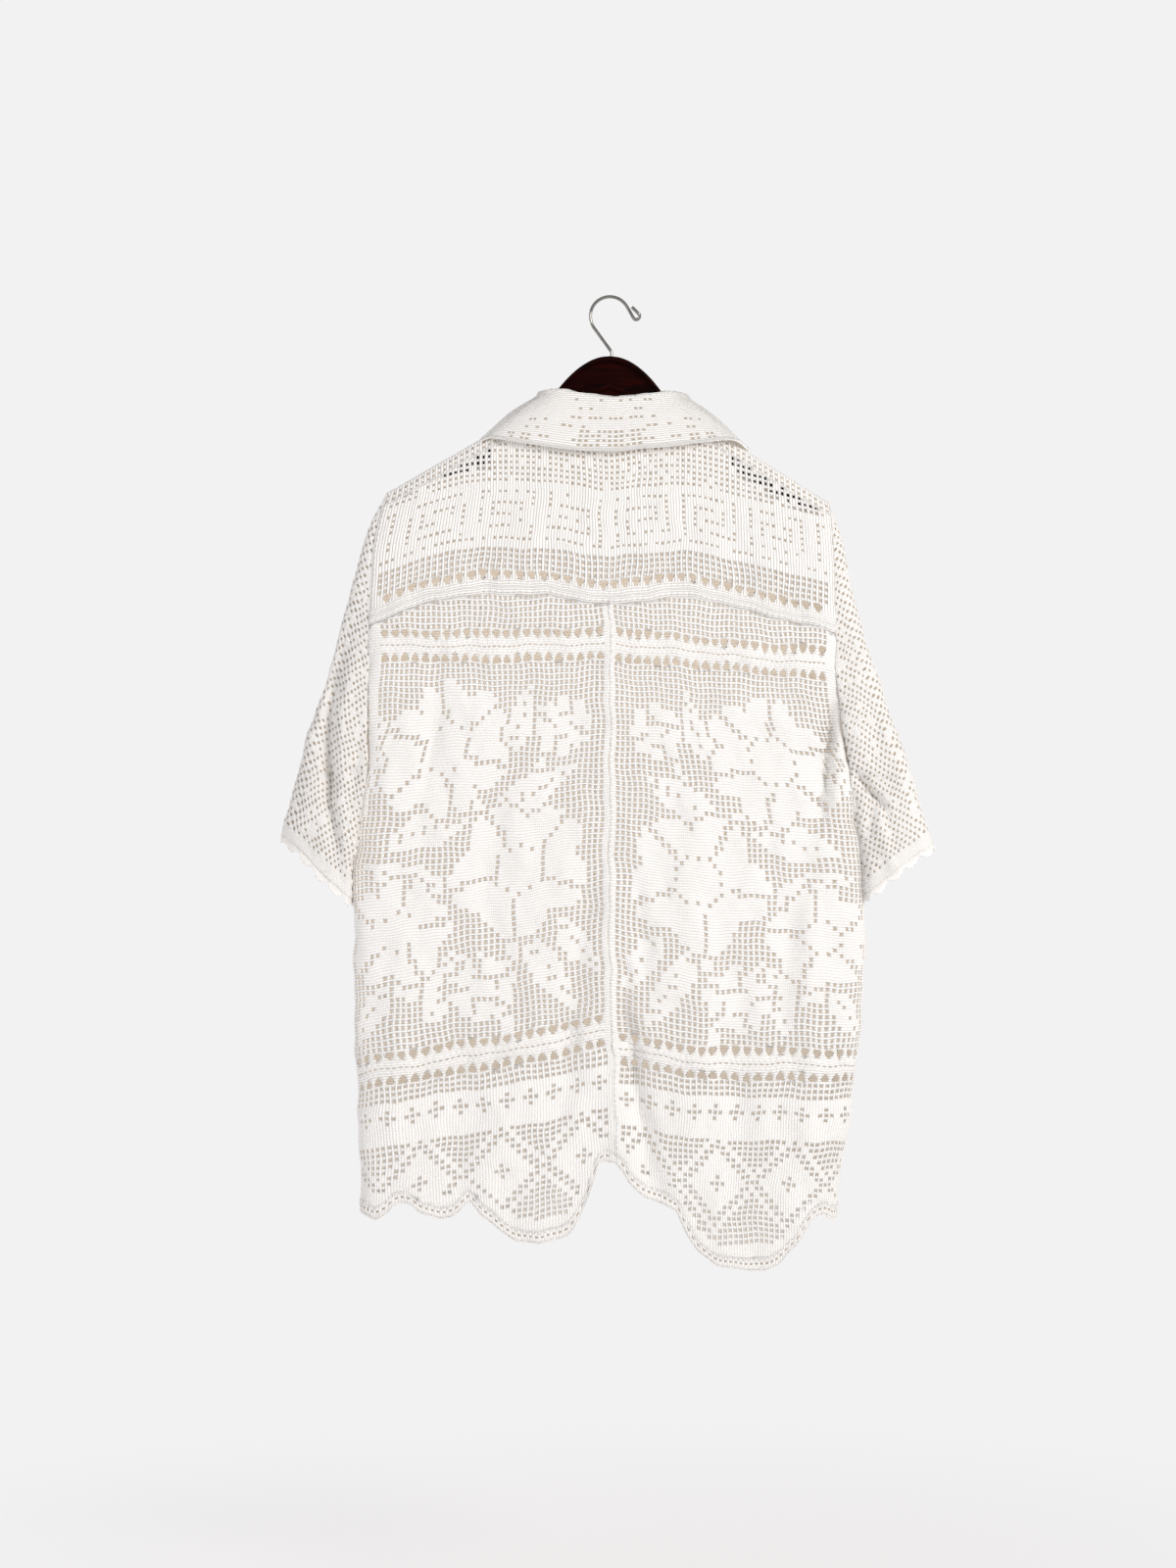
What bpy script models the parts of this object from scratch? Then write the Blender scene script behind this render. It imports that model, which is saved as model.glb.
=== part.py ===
"""A filet crochet shirt that hangs by its shoulders from a wooden hanger.

Sizes are in millimetres and become metres where a mesh is made. The origin is where the hook
bears on its nail. The back of the shirt faces -Y and its front faces +Y, with +X on the wearer's
right. Heights are given as drops below the nail, so z is minus the drop.

A panel is a wall between two grids of points, an outer and an inner one. A grid's rows are courses
of crochet and its columns run down the cloth. Every seam has both of its pieces cut on one and the
same surface, a small gap apart, so walls never cross where they meet.
"""

import math

import bmesh
import bpy
import numpy as np

MM = 0.001
WALL = 2.0  # thickness of the crocheted cloth
GAP = 0.3  # clearance between pieces at a seam
BACK, FRONT = -1, 1
LEFT, RIGHT = -1, 1


def table(columns, rows):
    """Names the columns of a short table of numbers."""
    return {name: np.array(values, float) for name, values in zip(columns.split(), zip(*rows))}


# --- the hanger ------------------------------------------------------------------------------

HANGER_TILT = math.radians(1.2)  # the wearer's right end hangs a little lower
ARM_ANGLE = math.atan(0.60)  # slope of the arms
ARM_APEX = 69.3  # drop where the lines of the two arms would meet
WOOD_CORNER = 5.5  # rounding of the wood's long edges
HANGER = table(
    "reach top bottom thickness",
    [
        (0, 57.8, 91.6, 13.0),
        (9, 58.8, 95.0, 13.0),
        (18, 61.9, 99.5, 13.0),
        (27, 67.1, 105.0, 13.0),
        (36, 74.3, 111.5, 13.0),
        (44, 82.5, 118.0, 13.0),
        (52, 92.3, 124.5, 13.0),
        (60, 103.0, 131.0, 12.4),
        (70, 111.3, 137.5, 12.4),
        (95, 126.3, 153.0, 12.6),
        (150, 159.3, 182.5, 12.6),
        (190, 183.5, 204.0, 12.0),
        (203, 192.2, 209.5, 10.0),
        (209, 198.0, 206.5, 6.0),
    ],
)
HOOK_WIRE = 3.3  # diameter of the hook's wire
HOOK_ROUND = 19.6  # radius of the round that bears on the nail
HOOK_CURL = 3.2  # radius of the turned-back tip
HOOK_ASIDE = 3.8  # how far the tip passes beside the wire

# --- the body --------------------------------------------------------------------------------

NECK_X = 2.0  # centre of the neck
NECK_WIDTH = 68.0  # half the width of the neck
NECK_DEPTH = 10.6  # how far the back of the neck stands off the hanger's mid plane
NECK_DROP = {BACK: 129.0, FRONT: 190.0}
NECK_CURVE = {BACK: 2.2, FRONT: 0.9}  # how the neck's edge bends from its middle to its corners
NECK_SQUARE = 6  # squareness of the neck's opening seen from above
NECK_LIFT = 8.0  # rise of the shoulder line beside the neck, under the collar
NECK_LIFT_WIDTH = 30.0
SHOULDER_LEVEL = 200.0  # drop from which a column's place on the shoulder line is looked for
TOP_ROUNDS = 6  # rounds in which it is found
HEM_LEVEL = 900.0  # and on the hem
ARMHOLE_FADE = 60.0  # height over which the armhole's seam goes over to the side seam
CENTRE_OFF = 1e-6  # keeps the centre's points on their own side
TOP_ROUND = 13.0  # height over which the cloth rounds over the hanger
INSIDE_FADE = 1.5 * TOP_ROUND  # height over which the inner side lies lower than the outer one
TOP_ROWS = (0, 0.8, 2.6, 8, 19)  # rows of points below the shoulder line
YOKE_COLUMNS = 41
YOKE_STEPS = 4  # rows of points in the yoke's net
BAND_STEPS = {"band 2": 2, "band 3": 6}  # and in the net above each band of the lower back
ARMPIT_STEPS = 3  # and in it down to the armpit
HEM_STEPS = 4  # and in its border
FRONT_STEPS = (6, 9)  # and in a front, above and below the armpit
NECK_COLUMNS = (0.25, 0.5, 0.72, 0.88, 0.97)  # columns of a front inside the neck, by its width
FRONT_COLUMNS = 10  # and beyond it
SIDE_ROUND = 45.0  # width over which a panel rounds to the side seam
RIM_DEPTH = {BACK: 15.0, FRONT: 13.0}  # how far the armhole stands off the mid plane
RIM_POWER = 2.4  # squareness of the armhole's and the sleeve's sections
ARMPIT = {LEFT: 471.0, RIGHT: 478.0}
SHOULDER_END = {LEFT: -224.4, RIGHT: 216.3}

# Where the back and front panels end: the armhole seam down to the armpit, then the side seam.
EDGE = table(
    "drop left right",
    [
        (194, -224.4, 216.3),
        (222, -231.3, 218.4),
        (250, -237.0, 220.2),
        (290, -240.1, 221.5),
        (340, -241.1, 222.5),
        (390, -242.1, 224.6),
        (430, -243.0, 229.8),
        (470, -244.6, 237.5),
        (500, -250.5, 242.6),
        (525, -253.8, 246.4),
        (555, -256.8, 250.0),
        (585, -258.3, 252.5),
        (640, -257.4, 253.0),
        (730, -256.8, 249.0),
        (780, -254.4, 243.0),
        (830, -253.0, 237.0),
        (865, -251.6, 230.3),
        (915, -249.9, 224.4),
    ],
)
CENTRE = table("drop x", [(300, -2.9), (390, -2.0), (680, -2.0), (740, 0.0), (800, 2.4), (865, 3.0)])
DEPTH = table(
    "drop back front",
    [
        (90, 12.6, 12.6),
        (200, 13.2, 13.2),
        (260, 17.0, 15.0),
        (340, 22.0, 18.0),
        (470, 26.0, 21.0),
        (600, 29.0, 23.0),
        (750, 31.0, 25.0),
        (980, 33.0, 27.0),
    ],
)

# Courses that cross a panel, by their drop at the centre seam, a third and two thirds of the way
# out, and at the outer edge. The yoke seam is the yoke's lower edge; the bands are insertions.
COURSES = {
    "yoke seam": {LEFT: (307, 297, 300, 326), RIGHT: (307, 300, 316, 334)},
    "band 2": {LEFT: (345.5, 348.4, 348.4, 348.8), RIGHT: (346.5, 353.3, 361.0, 367.0)},
    "band 3": {LEFT: (728.6, 747.3, 761.0, 776.7), RIGHT: (746.3, 761.0, 763.0, 766.0)},
}
BAND_HALF = 7.0  # half the height of an insertion band
BAND_RAISE = 1.6  # how far its stitches stand proud
EYELET = 10.0  # height of the course of eyelets beside a band
RIDGE = 0.02  # half the width of the centre seam's ridge, in the width of a panel
RIDGE_RAISE = 1.8

# The lower edge of the back, from the side seam to the notch at the centre and out again.
HEM = {
    LEFT: table(
        "x drop",
        [
            (-252, 909),
            (-235, 917),
            (-225, 912),
            (-214, 901),
            (-200, 901),
            (-190, 912),
            (-171, 917),
            (-156, 912),
            (-142, 896),
            (-131, 912),
            (-111, 927),
            (-95, 937),
            (-72, 940),
            (-53, 937),
            (-41, 930),
            (-31, 914),
            (-23, 895),
            (-15, 866),
            (-11, 857),
            (4, 862),
        ],
    ),
    RIGHT: table(
        "x drop",
        [
            (2, 862),
            (10, 868),
            (19, 885),
            (30, 894),
            (49, 901),
            (64, 909),
            (71, 923),
            (87, 950),
            (103, 961),
            (130, 967),
            (152, 967),
            (167, 959),
            (181, 945),
            (190, 930),
            (201, 916),
            (211, 912),
            (222, 919),
            (228, 910),
        ],
    ),
}
FRONT_HEM_LIFT = 9.0  # the fronts end this much above the back

# Soft folds that run down the cloth. x is at the top, the middle and the lower end of a fold, and
# a positive depth goes into the hollow.
FOLD_COLUMNS = "top low x_top x_middle x_low width depth"
FOLD_ENDS = 0.8  # how softly a fold runs out at its ends
FOLD_EDGE = 6  # and how close to the side seam the folds of the body reach
FOLDS = {
    BACK: table(
        FOLD_COLUMNS,
        [
            (366, 548, 221, 215, 196, 8, 13),
            (520, 760, 200, 178, 161, 15, 7),
            (350, 500, -175, -174, -177, 13, 5),
            (450, 700, -111, -114, -109, 15, 5),
            (455, 610, -233, -244, -249, 9, 6),
            (690, 905, 12, 26, 48, 11, 13),
            (660, 840, -36, -41, -53, 11, 8),
            (560, 700, -20, -27, -34, 9, 5),
            (560, 720, 22, 30, 36, 9, 5),
            (590, 900, -205, -210, -203, 16, -5),
            (640, 910, -148, -150, -152, 18, 5),
            (400, 860, 78, 84, 80, 20, -4),
            (620, 940, 118, 124, 130, 17, 6),
            (560, 880, 190, 196, 192, 14, -5),
            (210, 320, -120, -128, -124, 18, 3),
            (215, 330, 120, 130, 138, 18, 3),
        ],
    ),
    FRONT: table(
        FOLD_COLUMNS,
        [
            (250, 560, -170, -176, -182, 18, 5),
            (420, 860, -95, -102, -98, 20, 6),
            (560, 880, -205, -203, -208, 16, -5),
            (250, 540, 160, 168, 176, 18, 5),
            (430, 880, 92, 96, 104, 20, 6),
            (600, 880, 188, 194, 190, 15, -5),
        ],
    ),
}

# --- sleeves, collar and buttons -------------------------------------------------------------

# The sleeve's outer outline and the drop of its inner one, from the armhole to the cuff.
SLEEVE = {
    LEFT: table(
        "along outer_x outer_drop inner_drop",
        [
            (0.00, -224.4, 194.5, 470.0),
            (0.10, -241.0, 226.0, 486.0),
            (0.25, -256.8, 277.8, 505.0),
            (0.50, -279.3, 364.0, 534.0),
            (0.75, -306.7, 448.4, 569.0),
            (1.00, -329.3, 534.6, 605.0),
        ],
    ),
    RIGHT: table(
        "along outer_x outer_drop inner_drop",
        [
            (0.00, 216.3, 203.9, 477.0),
            (0.10, 230.3, 240.0, 492.0),
            (0.25, 240.6, 291.6, 509.0),
            (0.50, 264.6, 373.9, 536.0),
            (0.75, 294.0, 458.2, 566.0),
            (1.00, 320.5, 542.4, 597.0),
        ],
    ),
}
SLEEVE_FULLNESS = {BACK: 34.0, FRONT: 30.0}  # how deep the sleeve is at its cuff
ARMHOLE_GAP = 0.8  # a little more than at a straight seam, because the armhole curves
SLEEVE_CLEAR = 1.0  # space between the hanging sleeve and the side of the body
SLEEVE_OPENS = (335, 595)  # drops over which a sleeve fills out
CROWN_NARROWS = (330, 440)  # drops over which its fullest place moves from the seam to the middle
SLEEVE_RINGS = (0, 0.035, 0.09, 0.16, 0.25, 0.35, 0.46, 0.57, 0.68, 0.79, 0.9, 1.0)
SLEEVE_STEPS = 11  # pieces of a ring from the outer to the inner outline
SLEEVE_FOLDS = {
    LEFT: table(
        FOLD_COLUMNS,
        [
            (340, 590, -270, -279, -262, 9, 15),
            (380, 540, -246, -249, -256, 7, 5),
            (430, 540, -300, -303, -308, 10, -4),
        ],
    ),
    RIGHT: table(
        FOLD_COLUMNS,
        [
            (455, 520, 232, 248, 276, 9, 12),
            (510, 580, 262, 272, 284, 10, -5),
            (360, 480, 250, 262, 272, 12, 4),
        ],
    ),
}

# Half of the collar, from the centre of the back round to the front, in the hanger's own frame.
# neck is a fraction of the neck's half width, x and y are across and in depth, and the wall's
# middle runs from the neck over the fold and the fall to the free edge.
COLLAR_X = 4.0  # the shirt hangs this much to the right of the hook
COLLAR = table(
    "neck face fold_x fold_y fold fall_x fall_y fall edge_x edge_y edge",
    [
        (0.00, -1, 0, -13.0, 99.5, 0, -19.0, 125.0, 0, -22.0, 155.0),
        (0.35, -1, 25, -13.0, 97.0, 30, -19.0, 124.6, 37, -22.0, 155.0),
        (0.70, -1, 52, -12.5, 92.8, 66, -18.5, 119.5, 76, -21.8, 150.5),
        (0.93, -1, 66, -9.2, 93.6, 89, -15.0, 118.0, 108, -20.4, 146.0),
        (0.99, -1, 72, -4.6, 94.6, 100, -9.0, 117.0, 126, -16.4, 144.5),
        (1.00, 0, 73, 0.0, 93.4, 104, 0.0, 115.6, 138, 0.0, 142.6),
        (0.99, 1, 72, 6.0, 92.4, 103, 12.0, 117.0, 137, 18.0, 151.0),
        (0.93, 1, 67, 12.5, 95.0, 99, 17.6, 128.0, 131, 21.0, 171.0),
        (0.70, 1, 50, 15.6, 117.0, 82, 19.4, 152.0, 116, 22.0, 194.0),
        (0.35, 1, 28, 15.6, 150.0, 60, 19.4, 185.0, 94, 22.4, 220.0),
        (0.16, 1, 14, 15.6, 168.0, 44, 20.0, 204.0, 77, 23.0, 240.0),
    ],
)
COLLAR_SEAM = {BACK: 2.8, FRONT: 3.2}  # clearance above the neck's edge, where the stand leans out
COLLAR_STATIONS = 17  # sections of each half of the collar
COLLAR_FOLD = 3.0  # half the spread of the collar's fold
FOLD_FOOT = 4.0  # how far below its crest the fold is that wide
FOLD_CREST = (0.6, 1.1)  # share of the spread and drop of the points beside the crest
AT_SHOULDER = 0.01  # the station that belongs to neither the back nor the front
COLLAR_LIFT = 4.0  # how much higher the free edge lies on the wearer's right
FALL_LIFT = 0.4  # share of that in the middle of the fall

LAP = 12.0  # how far each front passes the centre
LAP_FADE = 32.0  # width over which the under front steps down below the other
LAP_GAP = 1.7
BUTTON_DROPS = (262.0, 380.0, 498.0, 616.0)
BUTTON_RADIUS = 5.5
BUTTON_THICKNESS = 2.4
BUTTON_STANDS_OFF = 0.7  # the wall is a little curved under each button
BUTTON_SIDES = 12


def smooth(x, xs, ys):
    """A smooth curve through the rows of a table, level past its ends."""
    slope = np.gradient(ys, xs)
    x = np.clip(x, xs[0], xs[-1])
    i = np.clip(np.searchsorted(xs, x, side="right") - 1, 0, len(xs) - 2)
    step = xs[i + 1] - xs[i]
    t = (x - xs[i]) / step
    start = (1 + 2 * t) * (1 - t) ** 2 * ys[i] + t * (1 - t) ** 2 * step * slope[i]
    return start + t * t * (3 - 2 * t) * ys[i + 1] + t * t * (t - 1) * step * slope[i + 1]


def lerp(a, b, t):
    return a + (b - a) * t


def ease(t):
    """Goes softly from 0 to 1."""
    t = np.clip(t, 0, 1)
    return t * t * (3 - 2 * t)


def ease_between(x, limits):
    return ease((x - limits[0]) / (limits[1] - limits[0]))


def squared(t, power):
    """A bump over t from -1 to 1, rounder or squarer by its power."""
    return (1 - np.minimum(np.abs(t), 1) ** power) ** (1 / power)


# --- shape of the cloth ----------------------------------------------------------------------


def shoulder(x):
    """Drop of the cloth where it lies over the hanger's arm."""
    angle = ARM_ANGLE + np.sign(x) * HANGER_TILT
    apex = ARM_APEX * math.cos(ARM_ANGLE) / np.cos(angle)
    lift = NECK_LIFT * ease((NECK_WIDTH + NECK_LIFT_WIDTH - np.abs(x - NECK_X)) / NECK_LIFT_WIDTH)
    return apex + np.tan(angle) * np.abs(x) - WALL - GAP - lift


def neckline(x, face):
    """Drop and depth of the neck's edge, or of the shoulder line beyond it."""
    across = np.abs(x - NECK_X) / NECK_WIDTH
    inside = across < 1
    side = shoulder(NECK_X + np.sign(x - NECK_X) * NECK_WIDTH)
    within = np.minimum(across, 1)
    rise = (1 - within) ** NECK_CURVE[face] if face == FRONT else 1 - within ** NECK_CURVE[face]
    drop = np.where(inside, side + (NECK_DROP[face] - side) * rise, shoulder(x))
    return drop, np.where(inside, NECK_DEPTH * squared(across, NECK_SQUARE), 0)


def edge_x(drop, side):
    left = smooth(drop, EDGE["drop"], EDGE["left"])
    return np.where(side < 0, left, smooth(drop, EDGE["drop"], EDGE["right"]))


def rim_depth(drop, side, face, inset):
    """How far the armhole's seam stands off the mid plane at a drop."""
    top = np.where(side < 0, shoulder(SHOULDER_END[LEFT]), shoulder(SHOULDER_END[RIGHT]))
    pit = np.where(side < 0, ARMPIT[LEFT], ARMPIT[RIGHT])
    down = np.clip((drop - top - inset) / (pit - top - 2 * inset), 0, 1)
    return (RIM_DEPTH[face] - inset) * squared(2 * down - 1, RIM_POWER)


def fold_depth(x, drop, folds):
    """Sum of the folds at each point: each fades out at its ends and to its sides."""
    total = np.zeros(np.broadcast(x, drop).shape)
    for top, low, x_top, x_middle, x_low, width, depth in zip(*folds.values()):
        t = np.clip((drop - top) / (low - top), 0, 1)
        path = x_top * (1 - t) * (1 - 2 * t) + x_middle * 4 * t * (1 - t) + x_low * t * (2 * t - 1)
        total += depth * np.sin(math.pi * t) ** FOLD_ENDS * np.exp(-(((x - path) / width) ** 2))
    return total


def body_point(s, drop, face, inset=0.0):
    """A point of the body. s goes from -1 at the wearer's left edge to 1 at the right one."""
    side = np.where(s < 0, -1, 1)
    centre = smooth(drop, CENTRE["drop"], CENTRE["x"])
    reach = np.abs(edge_x(drop, side) - centre)
    pit = np.where(side < 0, ARMPIT[LEFT], ARMPIT[RIGHT])
    armhole = ease((pit - drop) / ARMHOLE_FADE)
    depth = smooth(drop, DEPTH["drop"], DEPTH["back" if face == BACK else "front"])
    quarter = math.pi / 2 * np.sqrt((SIDE_ROUND**2 + depth**2) / 2)
    flat = (reach - SIDE_ROUND) / (reach - SIDE_ROUND + lerp(quarter, SIDE_ROUND, armhole))
    turned = np.clip((np.abs(s) - flat) / (1 - flat), 0, 1)
    angle = turned * math.pi / 2
    across = np.minimum(np.abs(s) / flat, 1) * (reach - SIDE_ROUND)
    rounding = lerp(np.sin(angle), turned, armhole)
    across = across + rounding * (SIDE_ROUND - inset * (1 - armhole))
    x = centre + side * across

    top, top_depth = neckline(x, face)
    below = np.maximum(drop - top, 0)
    covered = np.sqrt(1 - (1 - np.minimum(below / TOP_ROUND, 1)) ** 2)
    facing = np.cos(angle)
    over_wood = 1 - top_depth / NECK_DEPTH
    drop = drop + inset * over_wood * np.clip(1 - below / INSIDE_FADE, 0, 1)
    rim = rim_depth(drop, side, face, inset)
    top_depth = np.maximum(top_depth - inset, 0)
    away = top_depth * (1 - covered) + (depth - inset - rim) * facing * covered
    away = away + rim * lerp(1, covered, facing)
    window = (1 - turned**FOLD_EDGE) * np.minimum(below / TOP_ROUND, 1)
    away = away + GAP / 2 - fold_depth(x, drop, FOLDS[face]) * window
    return np.stack([x, face * away, -drop], axis=-1)


def course(name, s):
    """Drop of a named course at each s."""
    at = np.array([0, 1 / 3, 2 / 3, 1])
    left, right = (smooth(np.abs(s), at, np.array(COURSES[name][k], float)) for k in (LEFT, RIGHT))
    return np.where(s < 0, left, right)


def hem_drop(s, side):
    x = body_point(s, np.full(np.shape(s), HEM_LEVEL), BACK)[..., 0]
    return np.interp(x, HEM[side]["x"], HEM[side]["drop"])


def top_drop(s, face):
    """Drop of each column's upper end, settled in a few rounds because a column leans."""
    drop = np.full(np.shape(s), SHOULDER_LEVEL)
    for _ in range(TOP_ROUNDS):
        drop = neckline(body_point(s, drop, face)[..., 0], face)[0]
    return drop


# --- meshes ----------------------------------------------------------------------------------


def material(name, colour, roughness, metallic=0.0):
    made = bpy.data.materials.new(name)
    made.use_nodes = True
    shader = made.node_tree.nodes["Principled BSDF"]
    shader.inputs["Base Color"].default_value = (*colour, 1.0)
    shader.inputs["Roughness"].default_value = roughness
    shader.inputs["Metallic"].default_value = metallic
    return made


def finish_piece(name, mesh, finish, sharp=50):
    """Turns a finished bmesh into a named object."""
    bmesh.ops.recalc_face_normals(mesh, faces=mesh.faces)
    data = bpy.data.meshes.new(name)
    mesh.to_mesh(data)
    mesh.free()
    data.shade_smooth()
    data.set_sharp_from_angle(angle=math.radians(sharp))
    data.materials.append(finish)
    piece = bpy.data.objects.new(name, data)
    bpy.context.scene.collection.objects.link(piece)
    return piece


# Corners of an eyelet in its cell, across and down from the cell's top left: a teardrop whose
# point is turned to the band.
POINT_DOWN = ((0.20, 0.12), (0.80, 0.12), (0.60, 0.90), (0.40, 0.90))
POINT_UP = ((0.40, 0.10), (0.60, 0.10), (0.80, 0.88), (0.20, 0.88))


def add_wall(mesh, outer, inner, eyelets, closed):
    """Adds a wall between two grids of points; a closed one joins its last column to its first."""
    rows, columns = outer.shape[:2]
    faces = [[[mesh.verts.new(p * MM) for p in row] for row in grid] for grid in (outer, inner)]
    for r in range(rows - 1):
        for c in range(columns if closed else columns - 1):
            n = (c + 1) % columns
            corners = ((r, c), (r, n), (r + 1, n), (r + 1, c))
            cells = [[grid[i][j] for i, j in corners] for grid in faces]
            if (r, c) not in eyelets:
                for cell in cells:
                    mesh.faces.new(cell)
                continue
            rings = []
            for cell, grid in zip(cells, (outer, inner)):
                a, b, c2, d = (grid[i][j] for i, j in corners)
                spots = [lerp(lerp(a, b, u), lerp(d, c2, u), v) for u, v in eyelets[r, c]]
                ring = [mesh.verts.new(p * MM) for p in spots]
                rings.append(ring)
                for k in range(4):
                    mesh.faces.new((cell[k], cell[(k + 1) % 4], ring[(k + 1) % 4], ring[k]))
            for k in range(4):
                n = (k + 1) % 4
                mesh.faces.new((rings[0][k], rings[0][n], rings[1][n], rings[1][k]))
    out, back = faces
    strips = [(out[0], back[0]), (out[-1], back[-1])]
    if closed:
        strips = [(a + a[:1], b + b[:1]) for a, b in strips]
    else:
        strips += [([row[k] for row in out], [row[k] for row in back]) for k in (0, -1)]
    for a, b in strips:
        for k in range(len(a) - 1):
            mesh.faces.new((a[k], a[k + 1], b[k + 1], b[k]))


def wall_piece(name, outer, inner, finish, eyelets=None, closed=False):
    mesh = bmesh.new()
    add_wall(mesh, outer, inner, eyelets or {}, closed)
    return finish_piece(name, mesh, finish)


def raise_points(grid, raised, face):
    """Moves the outer points of a panel out, by an amount for each point."""
    moved = grid.copy()
    moved[..., 1] += face * raised
    return moved


def spread(start, end, steps):
    """Even steps between two courses, without the first one."""
    return [lerp(start, end, k / steps) for k in range(1, steps + 1)]


# --- pieces ----------------------------------------------------------------------------------


def make_yoke(cotton):
    """The upper back, down to the first insertion band, which is its raised lower edge."""
    s = np.linspace(-1, 1, YOKE_COLUMNS)
    top = top_drop(s, BACK)
    low = course("yoke seam", s) - GAP / 2
    net_end = low - 2 * BAND_HALF - EYELET
    drops = [top + below for below in TOP_ROWS]
    drops += spread(drops[-1], net_end, YOKE_STEPS)
    eyelet_row = len(drops) - 1
    drops += [low - 2 * BAND_HALF, low - BAND_HALF, low]
    drops = np.array(drops)
    grid_s = np.broadcast_to(s, drops.shape)
    outer = body_point(grid_s, drops, BACK)
    raised = np.zeros(drops.shape)
    raised[-2:] = BAND_RAISE
    eyelets = {(eyelet_row, c): POINT_DOWN for c in range(1, YOKE_COLUMNS - 2)}
    outer = raise_points(outer, raised, BACK)
    return wall_piece("back_yoke", outer, body_point(grid_s, drops, BACK, WALL), cotton, eyelets)


def make_lower_back(name, side, columns, cotton):
    """One lower back panel: net, two insertion bands with eyelets above and below, scalloped hem."""
    out = np.concatenate([[CENTRE_OFF], np.linspace(RIDGE, 1, columns + 1)])
    s = side * out
    drops = [course("yoke seam", s) + GAP / 2]
    raised_rows, eyelets = [], {}
    for band, steps in BAND_STEPS.items():
        middle = course(band, s)
        if band == "band 3":
            drops += spread(drops[-1], np.full(len(s), ARMPIT[side]), ARMPIT_STEPS)
        drops += spread(drops[-1], middle - BAND_HALF - EYELET, steps)
        for row, shape in ((len(drops) - 1, POINT_DOWN), (len(drops) + 2, POINT_UP)):
            eyelets.update({(row, c): shape for c in range(1, columns)})
        drops += [middle - BAND_HALF, middle, middle + BAND_HALF, middle + BAND_HALF + EYELET]
        raised_rows.append(len(drops) - 3)
    drops += spread(drops[-1], hem_drop(s, side), HEM_STEPS)
    drops = np.array(drops)
    grid_s = np.broadcast_to(s, drops.shape)
    raised = np.zeros(drops.shape)
    raised[raised_rows] = BAND_RAISE
    raised[:, 0] = RIDGE_RAISE
    outer = raise_points(body_point(grid_s, drops, BACK), raised, BACK)
    inner = body_point(grid_s, drops, BACK, WALL)
    for grid in (outer, inner):
        grid[:, 0, 0] += side * GAP / 2
    return wall_piece(name, outer, inner, cotton, eyelets)


def front_grid(side, drops, s, inset):
    """Points of a front. The wearer's right front steps in under the left one at the lap."""
    points = body_point(s, drops, FRONT, inset)
    if side == RIGHT:
        centre = smooth(drops, CENTRE["drop"], CENTRE["x"])
        under = 1 - ease((points[..., 0] - centre - LAP - 3) / LAP_FADE)
        points[..., 1] -= under * (WALL + LAP_GAP)
    return points


def front_columns(side):
    """How far out the columns of a front lie: from its lap to its edge, one at the neck's corner."""
    start = float(CENTRE["x"][0])
    lap = LAP / abs(SHOULDER_END[side] - start)
    corner = abs(NECK_X + side * NECK_WIDTH - start) / abs(SHOULDER_END[side] - start)
    inside = corner * np.array(NECK_COLUMNS)
    return np.concatenate([[-lap, 0.0], inside, np.linspace(corner + 0.01, 1, FRONT_COLUMNS)])


def make_front(name, side, cotton):
    """A plain front from the shoulder and neck down to the hem, with its lap past the centre."""
    out = front_columns(side)
    s = side * out
    top = top_drop(s, FRONT)
    hem = hem_drop(side * np.maximum(out, CENTRE_OFF), side) - FRONT_HEM_LIFT
    rows = [top + below for below in TOP_ROWS]
    for end, steps in zip((np.full(len(s), ARMPIT[side]), hem), FRONT_STEPS):
        rows += spread(rows[-1], end, steps)
    drops = np.array(rows)
    grid_s = np.broadcast_to(s, drops.shape)
    outer = front_grid(side, drops, grid_s, 0.0)
    return wall_piece(name, outer, front_grid(side, drops, grid_s, WALL), cotton)


def sleeve_plane(side, along, q):
    """Place of a sleeve's point seen from behind: q goes from the outer to the inner outline."""
    lines = SLEEVE[side]
    start = smooth(along, lines["along"], lines["outer_drop"])
    end = smooth(along, lines["along"], lines["inner_drop"])
    drop = lerp(start, end, q)
    first = smooth(start, lines["outer_drop"], lines["outer_x"])
    last = edge_x(end, side) + side * lerp(ARMHOLE_GAP, SLEEVE_CLEAR, ease(along * 6))
    straight = lerp(first, last, q)
    seam = edge_x(drop, side) + side * ARMHOLE_GAP
    return lerp(seam, straight, ease(along / 0.22)), drop


def sleeve_depth(side, x, drop, face):
    """How far a sleeve's wall stands off its mid plane."""
    lines = SLEEVE[side]
    outer = smooth(drop, lines["outer_drop"], lines["outer_x"])
    inner = edge_x(drop, side)
    width = np.where(np.abs(inner - outer) < 0.5, side * -0.5, inner - outer)
    across = np.clip((x - outer) / width, 0, 1)
    rim = rim_depth(drop, side, face, 0.0)
    full = rim + SLEEVE_FULLNESS[face] * ease_between(drop, SLEEVE_OPENS)
    crown = lerp(1.0, 0.5, ease_between(drop, CROWN_NARROWS))
    rising = full * squared(1 - across / crown, RIM_POWER)
    falling = rim + (full - rim) * squared((across - crown) / np.maximum(1 - crown, 1e-6), RIM_POWER)
    depth = np.where(across <= crown, rising, falling)
    window = np.sin(math.pi * np.clip(across, 0, 1)) ** 0.5
    return depth - fold_depth(x, drop, SLEEVE_FOLDS[side]) * window * (face == BACK)


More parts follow.
